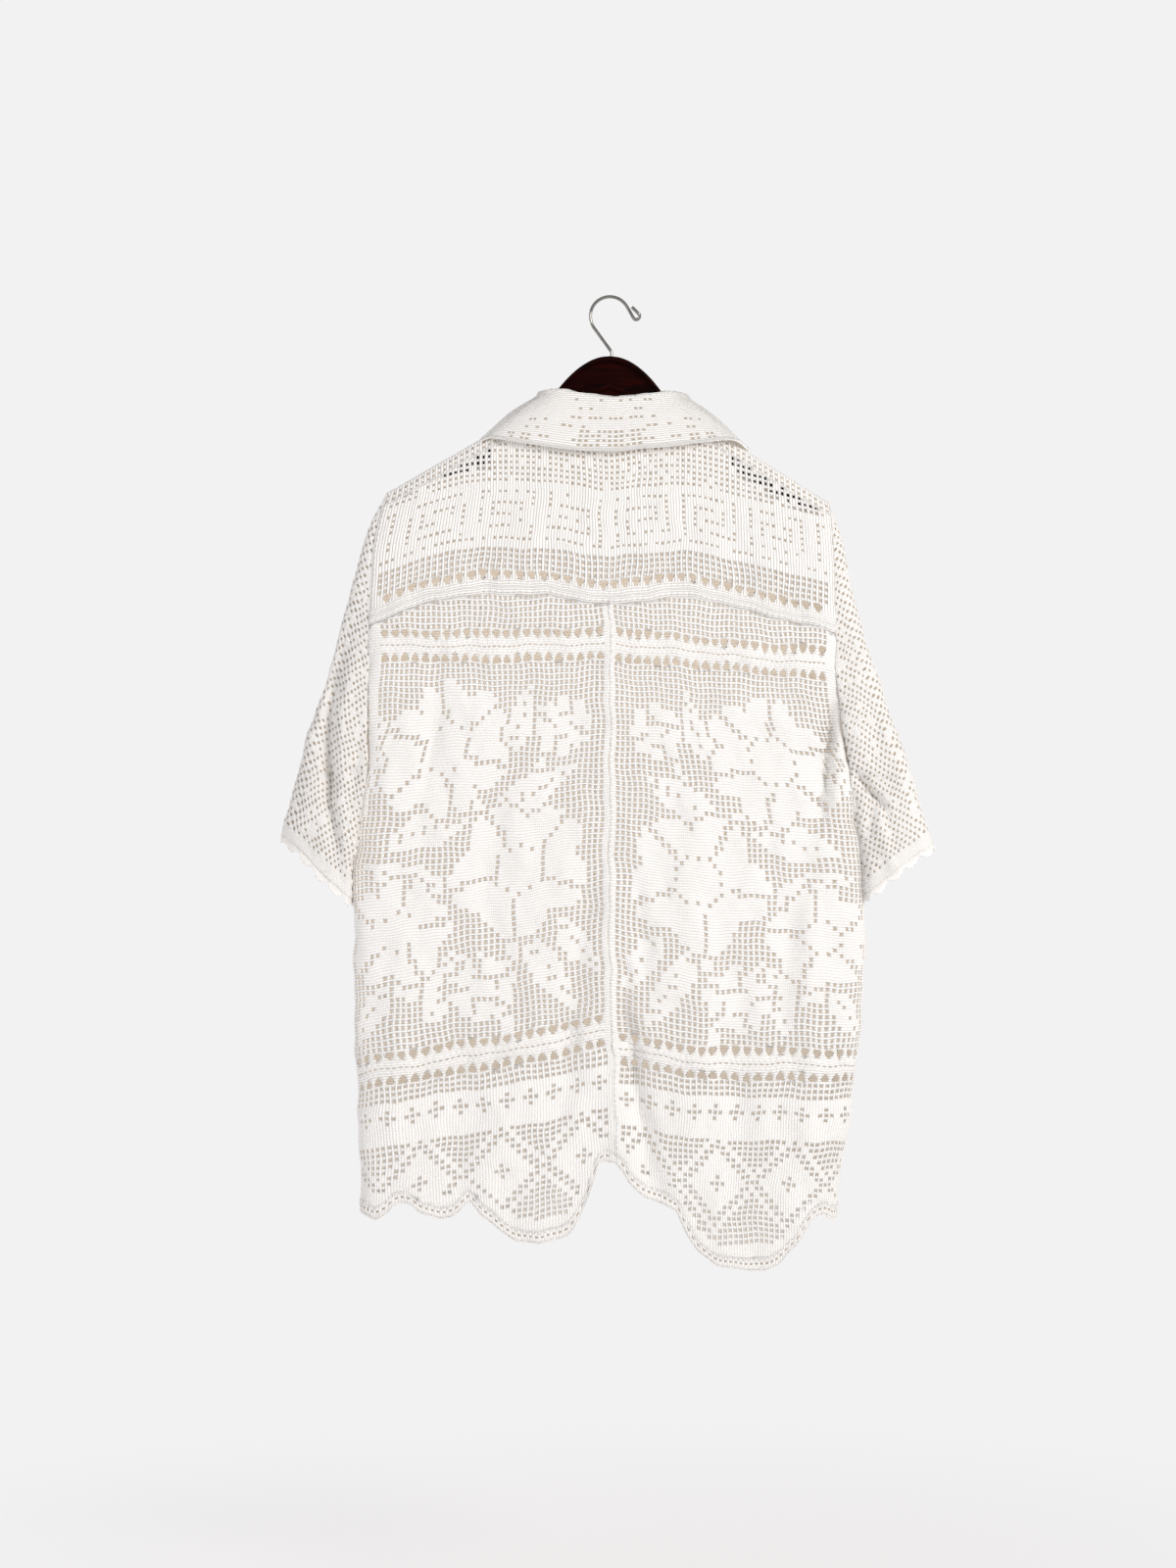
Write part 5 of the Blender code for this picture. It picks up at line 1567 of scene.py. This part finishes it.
def cotton_material(name, light, shade, painted_hollow_shade, painted_glow_and_floor_glow, hem=None):
    """Mercerised cotton yarn, crocheted by hand: matt, with a rib to each course and a post to each
    stitch. The rib and the post are about twice their real size, because real ones hardly show.
    """
    made, tree, shader, place = new_material(name)
    uv = add_node(tree, "ShaderNodeUVMap", {"uv_map": "courses"})
    split = add_node(tree, "ShaderNodeSeparateXYZ", {}, {0: uv})
    waves = []
    for axis, count in ((1, RIBS), (0, POSTS)):
        repeat = {"operation": "MULTIPLY", 1: math.pi * count}
        wave = add_node(tree, "ShaderNodeMath", repeat, {0: split.outputs[axis]})
        for step in ("COSINE", "ABSOLUTE"):
            wave = add_node(tree, "ShaderNodeMath", {"operation": step}, {0: wave})
        waves.append(wave)
    rib, post = waves
    weaker = {"operation": "MULTIPLY_ADD", 1: 0.45, 2: 0.55}
    post = add_node(tree, "ShaderNodeMath", weaker, {0: post})
    stitch = add_node(tree, "ShaderNodeMath", {"operation": "MULTIPLY"}, {0: rib, 1: post})
    patch = {"Scale": PATCHES, "Detail": 3.0}
    patch = add_node(tree, "ShaderNodeTexNoise", patch, {"Vector": place})
    tone = add_node(tree, "ShaderNodeMix", {"data_type": "RGBA", 6: light, 7: shade}, {0: patch})
    if hem:
        height = add_node(tree, "ShaderNodeSeparateXYZ", {}, {0: place})
        heights = dict(zip(("From Min", "From Max"), HEM_TONE))
        low = add_node(tree, "ShaderNodeMapRange", heights, {"Value": height.outputs[2]})
        mix = {"data_type": "RGBA", 7: hem}
        tone = add_node(tree, "ShaderNodeMix", mix, {0: low, 6: tone.outputs[2]})
    # Painted shade: the hollows between the ribs and the posts are mixed towards a darker colour,
    # as if shade fell in them.
    depth = {"From Min": 0.0, "From Max": 0.7, "To Min": 0.62, "To Max": 0.0}
    painted_deep_shade = add_node(tree, "ShaderNodeMapRange", depth, {"Value": stitch})
    mix = {"data_type": "RGBA", 7: painted_hollow_shade}
    # The yarn's tone with the painted shade mixed into its hollows.
    tone_with_painted_shade = add_node(tree, "ShaderNodeMix", mix, {0: painted_deep_shade, 6: tone.outputs[2]})
    twist = add_node(tree, "ShaderNodeTexNoise", {"Scale": TWIST, "Detail": 2.0}, {"Vector": place})
    both = {"operation": "MULTIPLY_ADD", 1: 0.35}
    height = add_node(tree, "ShaderNodeMath", both, {0: twist, 2: stitch})
    relief = {"Strength": 0.8, "Distance": 0.9 * MM}
    bump = add_node(tree, "ShaderNodeBump", relief, {"Height": height})
    look = {"Roughness": 0.9, "IOR": 1.5, "Sheen Weight": 0.12}
    # The emission is a painted glow, in place of light that comes through the cloth; only the
    # inside has it.
    look |= {"Emission Color": shade, "Emission Strength": painted_glow_and_floor_glow}
    set_node(shader, look, {"Base Color": tone_with_painted_shade.outputs[2], "Normal": bump})
    return made


def wood_material(dark, warm):
    """Mahogany, stained and sprayed with clear lacquer: dark, glossy, with faint long grain."""
    made, tree, shader, place = new_material("lacquered mahogany")
    stretch = add_node(tree, "ShaderNodeMapping", {"Scale": GRAIN}, {"Vector": place})
    noise = {"Scale": 1.0, "Detail": 5.0, "Distortion": 0.4}
    grain = add_node(tree, "ShaderNodeTexNoise", noise, {"Vector": stretch})
    levels = {"From Min": 0.35, "From Max": 0.7}
    level = add_node(tree, "ShaderNodeMapRange", levels, {"Value": grain})
    stain = add_node(tree, "ShaderNodeMix", {"data_type": "RGBA", 6: dark, 7: warm}, {0: level})
    relief = {"Strength": 0.15, "Distance": 0.2 * MM}
    bump = add_node(tree, "ShaderNodeBump", relief, {"Height": grain})
    look = {"Roughness": 0.28, "IOR": 1.5, "Specular IOR Level": 0.02}
    look |= {"Coat Weight": 0.035, "Coat Roughness": 0.08}
    set_node(shader, look, {"Base Color": stain.outputs[2], "Normal": bump})
    return made


def steel_material(bright, dull):
    """Mild steel wire, drawn and chromed: a mirror with fine drawing lines."""
    made, tree, shader, place = new_material("chromed steel wire")
    wear = add_node(tree, "ShaderNodeTexNoise", {"Scale": WEAR, "Detail": 3.0}, {"Vector": place})
    gloss = {"To Min": 0.06, "To Max": 0.2}
    rough = add_node(tree, "ShaderNodeMapRange", gloss, {"Value": wear})
    tone = add_node(tree, "ShaderNodeMix", {"data_type": "RGBA", 6: bright, 7: dull}, {0: wear})
    set_node(shader, {"Metallic": 1.0}, {"Roughness": rough, "Base Color": tone.outputs[2]})
    return made


def shell_material(light, dark):
    """Mother-of-pearl button, turned and polished: cloudy cream with a soft gloss."""
    made, tree, shader, place = new_material("turned mother-of-pearl")
    noise = {"Scale": CLOUDS, "Detail": 4.0, "Distortion": 1.2}
    cloud = add_node(tree, "ShaderNodeTexNoise", noise, {"Vector": place})
    tone = add_node(tree, "ShaderNodeMix", {"data_type": "RGBA", 6: light, 7: dark}, {0: cloud})
    set_node(shader, {"Roughness": 0.25, "IOR": 1.6}, {"Base Color": tone.outputs[2]})
    return made


# --- the stage ---

# Sizes and places are in metres from here on.
CAMERA_AWAY = 3.0
CAMERA_X, CAMERA_Z = -0.0235, -0.4856
VIEW_HEIGHT = 1.568  # what the picture's height spans at the hanger
SENSOR = 36.0  # in millimetres, as the lens
FLOOR_RADIUS = 30.0
FLOOR_FADE = (0.2, 1.2)  # distances over which the floor fades into the background
LIGHT_TARGET = (0.0, 0.0, -0.5)
# The soft lights: place, width and height, share of the key's power, and colour.
SOFTBOXES = {
    "key": ((2.0, -2.2, 0.6), (1.2, 1.2), 1.0, "#fffdfa"),
    "side": ((-2.2, -1.4, 0.2), (1.2, 1.6), 0.2, "#f4f7ff"),
    "front": ((-1.5, 2.6, 0.4), (1.4, 1.4), 0.5, "#fffdfa"),
}


def make_floor(colour, level):
    """A plain pale floor that fades into the studio's background."""
    mesh = bmesh.new()
    bmesh.ops.create_circle(mesh, cap_ends=True, segments=96, radius=FLOOR_RADIUS)
    data = bpy.data.meshes.new("floor")
    mesh.to_mesh(data)
    mesh.free()
    made, tree, shader, place = new_material("painted floor")
    set_node(shader, {"Base Color": colour, "Roughness": 0.8, "Specular IOR Level": 0.1})
    length = add_node(tree, "ShaderNodeVectorMath", {"operation": "LENGTH"}, {0: place})
    fading = {"interpolation_type": "SMOOTHSTEP"} | dict(zip(("From Min", "From Max"), FLOOR_FADE))
    fade = add_node(tree, "ShaderNodeMapRange", fading, {"Value": length.outputs["Value"]})
    painted_glow_and_floor_glow = add_node(tree, "ShaderNodeEmission", {"Color": colour, "Strength": 1.0})
    blend = add_node(tree, "ShaderNodeMixShader", {}, {0: fade, 1: shader, 2: painted_glow_and_floor_glow})
    set_node(tree.nodes["Material Output"], {}, {"Surface": blend})
    floor = placed("floor", data, [made])
    floor.location = (0, 0, level)


def make_world(colour, ambient):
    """The studio: the backdrop where it is seen, and an even white light elsewhere."""
    world = bpy.data.worlds.new("studio")
    world.use_nodes = True
    tree = world.node_tree
    ray = add_node(tree, "ShaderNodeLightPath", {}).outputs["Is Camera Ray"]
    seen = set_node(tree.nodes["Background"], {"Color": colour})
    fill = add_node(tree, "ShaderNodeBackground", {"Color": "#fffefd", "Strength": ambient})
    blend = add_node(tree, "ShaderNodeMixShader", {}, {0: ray, 1: fill, 2: seen})
    set_node(tree.nodes["World Output"], {}, {"Surface": blend})
    bpy.context.scene.world = world


def make_softboxes(power):
    """Large soft lights that face the shirt."""
    for name, (place, (width, height), share, colour) in SOFTBOXES.items():
        light = bpy.data.lights.new(name, "AREA")
        light.shape = "RECTANGLE"
        light.size, light.size_y = width, height
        light.energy = share * power
        light.color = linear(colour)
        lamp = placed(name, light)
        lamp.location = place
        way = Vector(LIGHT_TARGET) - Vector(place)
        lamp.rotation_euler = way.to_track_quat("-Z", "Y").to_euler()


def make_camera():
    """A camera straight behind the shirt, as long a lens as its distance asks for."""
    lens = bpy.data.cameras.new("camera")
    lens.sensor_width = SENSOR
    lens.lens = SENSOR * CAMERA_AWAY / VIEW_HEIGHT
    camera = placed("camera", lens)
    camera.location = (CAMERA_X, -CAMERA_AWAY, CAMERA_Z)
    camera.rotation_euler = Euler((math.pi / 2, 0, 0))
    bpy.context.scene.camera = camera


# --- settings, operators and panel ---


def colour_setting(name, description, default):
    return bpy.props.StringProperty(name=name, description=description, default=default)


def number_setting(name, description, default, **kind):
    """A number in metres or watts where it has a unit, and a plain factor where it has none."""
    kind.setdefault("subtype", "NONE" if "unit" in kind else "FACTOR")
    return bpy.props.FloatProperty(name=name, description=description, default=default, **kind)


class CrochetYarnSettings(bpy.types.PropertyGroup):
    face: colour_setting("Yarn", "Colour of the yarn where light falls on it", "#fbf9f7")
    shade: colour_setting("Yarn shade", "Second tone of the yarn, in soft patches", "#f7f4f1")
    # Painted shade: the darker colour mixed into the hollows between stitches.
    painted_hollow_shade: colour_setting("Between stitches", "Colour in the hollows between stitches", "#e0d9d2")
    # Painted shade: the darker colour mixed between the ribs of yoke and collar.
    ribs: colour_setting("Between ribs", "Colour between the ribs of yoke and collar", "#aaa096")
    # Painted shade: the inside is coloured darker and warmer than the yarn, and with its second,
    # hollow and hem tones stands in for the cloth in shade seen through the holes.
    inside: colour_setting("Inside", "Colour of the inside, painted darker as shade", "#f3ece3")
    inside_shade: colour_setting("Inside shade", "Second tone of the inside", "#ebe2d7")
    inside_painted_hollow_shade: colour_setting("Inside hollows", "Colour of hollows on the inside", "#d3c9bb")
    inside_hem: colour_setting("Inside of the hem", "Colour of the inside low down", "#d6cfc6")
    # Painted light: the inside's glow, an emission in place of light that comes through the cloth.
    painted_glow_and_floor_glow: number_setting("Light through", "Painted glow in place of light that comes through to the inside", 0.22, min=0.0)
    # Painted shade: the colour at the bottom of a blind hole.
    painted_deep_shade: colour_setting("Deep stitches", "Colour at the bottom of a small hole", "#bcafa0")


class CrochetHangerSettings(bpy.types.PropertyGroup):
    dark: colour_setting("Wood", "Colour of the stained wood", "#0a0101")
    warm: colour_setting("Wood grain", "Colour of the lighter grain", "#240402")
    steel: colour_setting("Steel", "Colour of the polished hook", "#a3a19d")
    steel_dull: colour_setting("Dull steel", "Its colour where the wear shows", "#6f6d6a")
    button: colour_setting("Button", "Colour of the pearl buttons", "#ece5d6")
    button_cloud: colour_setting("Button clouds", "Second tone of the pearl", "#d3c6ae")


class CrochetStageSettings(bpy.types.PropertyGroup):
    backdrop: colour_setting("Backdrop", "Colour of the studio and its floor", "#f3f2f3")
    floor_level: number_setting("Floor", "Height of the floor from the nail", -1.35, unit="LENGTH")
    ambient: number_setting("Fill", "Strength of the light from all round", 0.57, min=0.0)
    key: number_setting("Key light", "Power of the large soft light", 58.0, unit="POWER")


def settings(group):
    return getattr(bpy.context.scene, group)


def yarn(ribbed=False):
    """The finishes of the crochet, made once: its outside, with painted shade in its hollows; its
    inside, painted darker as shade and with a painted glow; and the bottoms of its holes, in
    painted shade.
    """
    look = settings("crochet_yarn")
    outside = ("crocheted ivory cotton", look.face, look.shade, look.painted_hollow_shade, 0.0)
    if ribbed:
        outside = ("ribbed ivory cotton", look.face, look.shade, look.ribs, 0.0)
    tones = (look.inside, look.inside_shade, look.inside_painted_hollow_shade, look.painted_glow_and_floor_glow, look.inside_hem)
    inside = ("crocheted cotton inside", *tones)
    painted_deep_shade = ("crocheted cotton in shade", look.painted_deep_shade, look.painted_deep_shade, look.painted_deep_shade, 0.0)
    return [
        bpy.data.materials.get(name) or cotton_material(name, *tones)
        for name, *tones in (outside, inside, painted_deep_shade)
    ]


def settle(piece, nodes, slot, **cloth):
    """Lets a piece ride on the body in place of its solids."""
    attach(piece, "root")
    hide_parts(*nodes)
    return {"FINISHED"}


def settle_pair(make, net, solid, held_by, **cloth):
    """Makes the left and the right piece of a pair. {} in what holds them is left or right."""
    for side, name in ((LEFT, "left"), (RIGHT, "right")):
        piece = make(f"{net}_{name}", side, yarn())
        rests_on = [held_by.format(name)]
        settle(piece, [f"{solid}_{name}"], "crochet", held="hung", rests_on=rests_on, **cloth)
    return {"FINISHED"}


class CROCHET_OT_hanger(bpy.types.Operator):
    """Makes the wooden hanger and its hook"""

    bl_idname = "crochet.hanger"
    bl_label = "Hanger"

    def execute(self, context):
        look = settings("crochet_hanger")
        settle(make_wood(wood_material(look.dark, look.warm)), ["hanger_wood"], "lacquer")
        steel = steel_material(look.steel, look.steel_dull)
        return settle(make_wire(steel), ["hanger_hook"], "steel")


class CROCHET_OT_yoke(bpy.types.Operator):
    """Makes the upper back"""

    bl_idname = "crochet.yoke"
    bl_label = "Yoke"

    def execute(self, context):
        cloth = {"flat": (0.47, 0.245), "area": 0.088, "held": "hung", "rests_on": ["hanger_wood"]}
        return settle(make_yoke(yarn(ribbed=True)), ["back_yoke"], "crochet", **cloth)


class CROCHET_OT_lower_back(bpy.types.Operator):
    """Makes the two lower back panels"""

    bl_idname = "crochet.lower_back"
    bl_label = "Lower back"

    def execute(self, context):
        cloth = {"flat": (0.275, 0.655), "area": 0.158}
        return settle_pair(make_lower_back, "back_net", "back", "yoke_net", **cloth)


class CROCHET_OT_fronts(bpy.types.Operator):
    """Makes the two fronts, which lap at the centre"""

    bl_idname = "crochet.fronts"
    bl_label = "Fronts"

    def execute(self, context):
        cloth = {"flat": (0.285, 0.86), "area": 0.2}
        return settle_pair(make_front, "front_net", "front", "hanger_wood", **cloth)


class CROCHET_OT_sleeves(bpy.types.Operator):
    """Makes the two short sleeves"""

    bl_idname = "crochet.sleeves"
    bl_label = "Sleeves"

    def execute(self, context):
        cloth = {"flat": (0.32, 0.36), "area": 0.04}
        return settle_pair(make_sleeve, "sleeve_net", "sleeve", "back_net_{}", **cloth)


class CROCHET_OT_collar(bpy.types.Operator):
    """Makes the folded collar"""

    bl_idname = "crochet.collar"
    bl_label = "Collar"

    def execute(self, context):
        cloth = {"flat": (0.6, 0.09), "held": "folded", "rests_on": ["yoke_net"]}
        return settle(make_collar(yarn(ribbed=True)), ["collar"], "crochet", **cloth)


class CROCHET_OT_buttons(bpy.types.Operator):
    """Makes the buttons of the lapped fronts"""

    bl_idname = "crochet.buttons"
    bl_label = "Buttons"

    def execute(self, context):
        look = settings("crochet_hanger")
        shell = shell_material(look.button, look.button_cloud)
        for number, drop in enumerate(BUTTON_DROPS, 1):
            settle(make_button(number, drop, [shell, yarn()[0]]), [f"button_{number}"], "button")
        return {"FINISHED"}


class CROCHET_OT_stage(bpy.types.Operator):
    """Makes the floor, the soft light and the camera"""

    bl_idname = "crochet.stage"
    bl_label = "Stage"

    def execute(self, context):
        look = settings("crochet_stage")
        make_floor(look.backdrop, look.floor_level)
        make_world(look.backdrop, look.ambient)
        make_softboxes(look.key)
        make_camera()
        context.scene.view_settings.view_transform = "Standard"
        return {"FINISHED"}


class CROCHET_PT_panel(bpy.types.Panel):
    """Lists the pieces of the shirt in the order they are made"""

    bl_idname = "CROCHET_PT_panel"
    bl_label = "Crochet shirt"
    bl_space_type = "VIEW_3D"
    bl_region_type = "UI"
    bl_category = "Crochet"

    def draw(self, context):
        for group in GROUPS:
            for name in group.__annotations__:
                self.layout.prop(settings(GROUPS[group]), name)
        for operator in OPERATORS:
            self.layout.operator(operator.bl_idname)


GROUPS = {
    CrochetYarnSettings: "crochet_yarn",
    CrochetHangerSettings: "crochet_hanger",
    CrochetStageSettings: "crochet_stage",
}
OPERATORS = (
    CROCHET_OT_hanger,
    CROCHET_OT_yoke,
    CROCHET_OT_lower_back,
    CROCHET_OT_fronts,
    CROCHET_OT_sleeves,
    CROCHET_OT_collar,
    CROCHET_OT_buttons,
    CROCHET_OT_stage,
)


def register():
    for item in (*GROUPS, *OPERATORS, CROCHET_PT_panel):
        bpy.utils.register_class(item)
    for group, name in GROUPS.items():
        setattr(bpy.types.Scene, name, bpy.props.PointerProperty(type=group))


def unregister():
    for name in GROUPS.values():
        delattr(bpy.types.Scene, name)
    for item in reversed((*GROUPS, *OPERATORS, CROCHET_PT_panel)):
        bpy.utils.unregister_class(item)


def main():
    register()
    bpy.ops.crochet.hanger()
    bpy.ops.crochet.yoke()
    bpy.ops.crochet.lower_back()
    bpy.ops.crochet.fronts()
    bpy.ops.crochet.sleeves()
    bpy.ops.crochet.collar()
    bpy.ops.crochet.buttons()
    bpy.ops.crochet.stage()


if __name__ == "__main__":
    main()
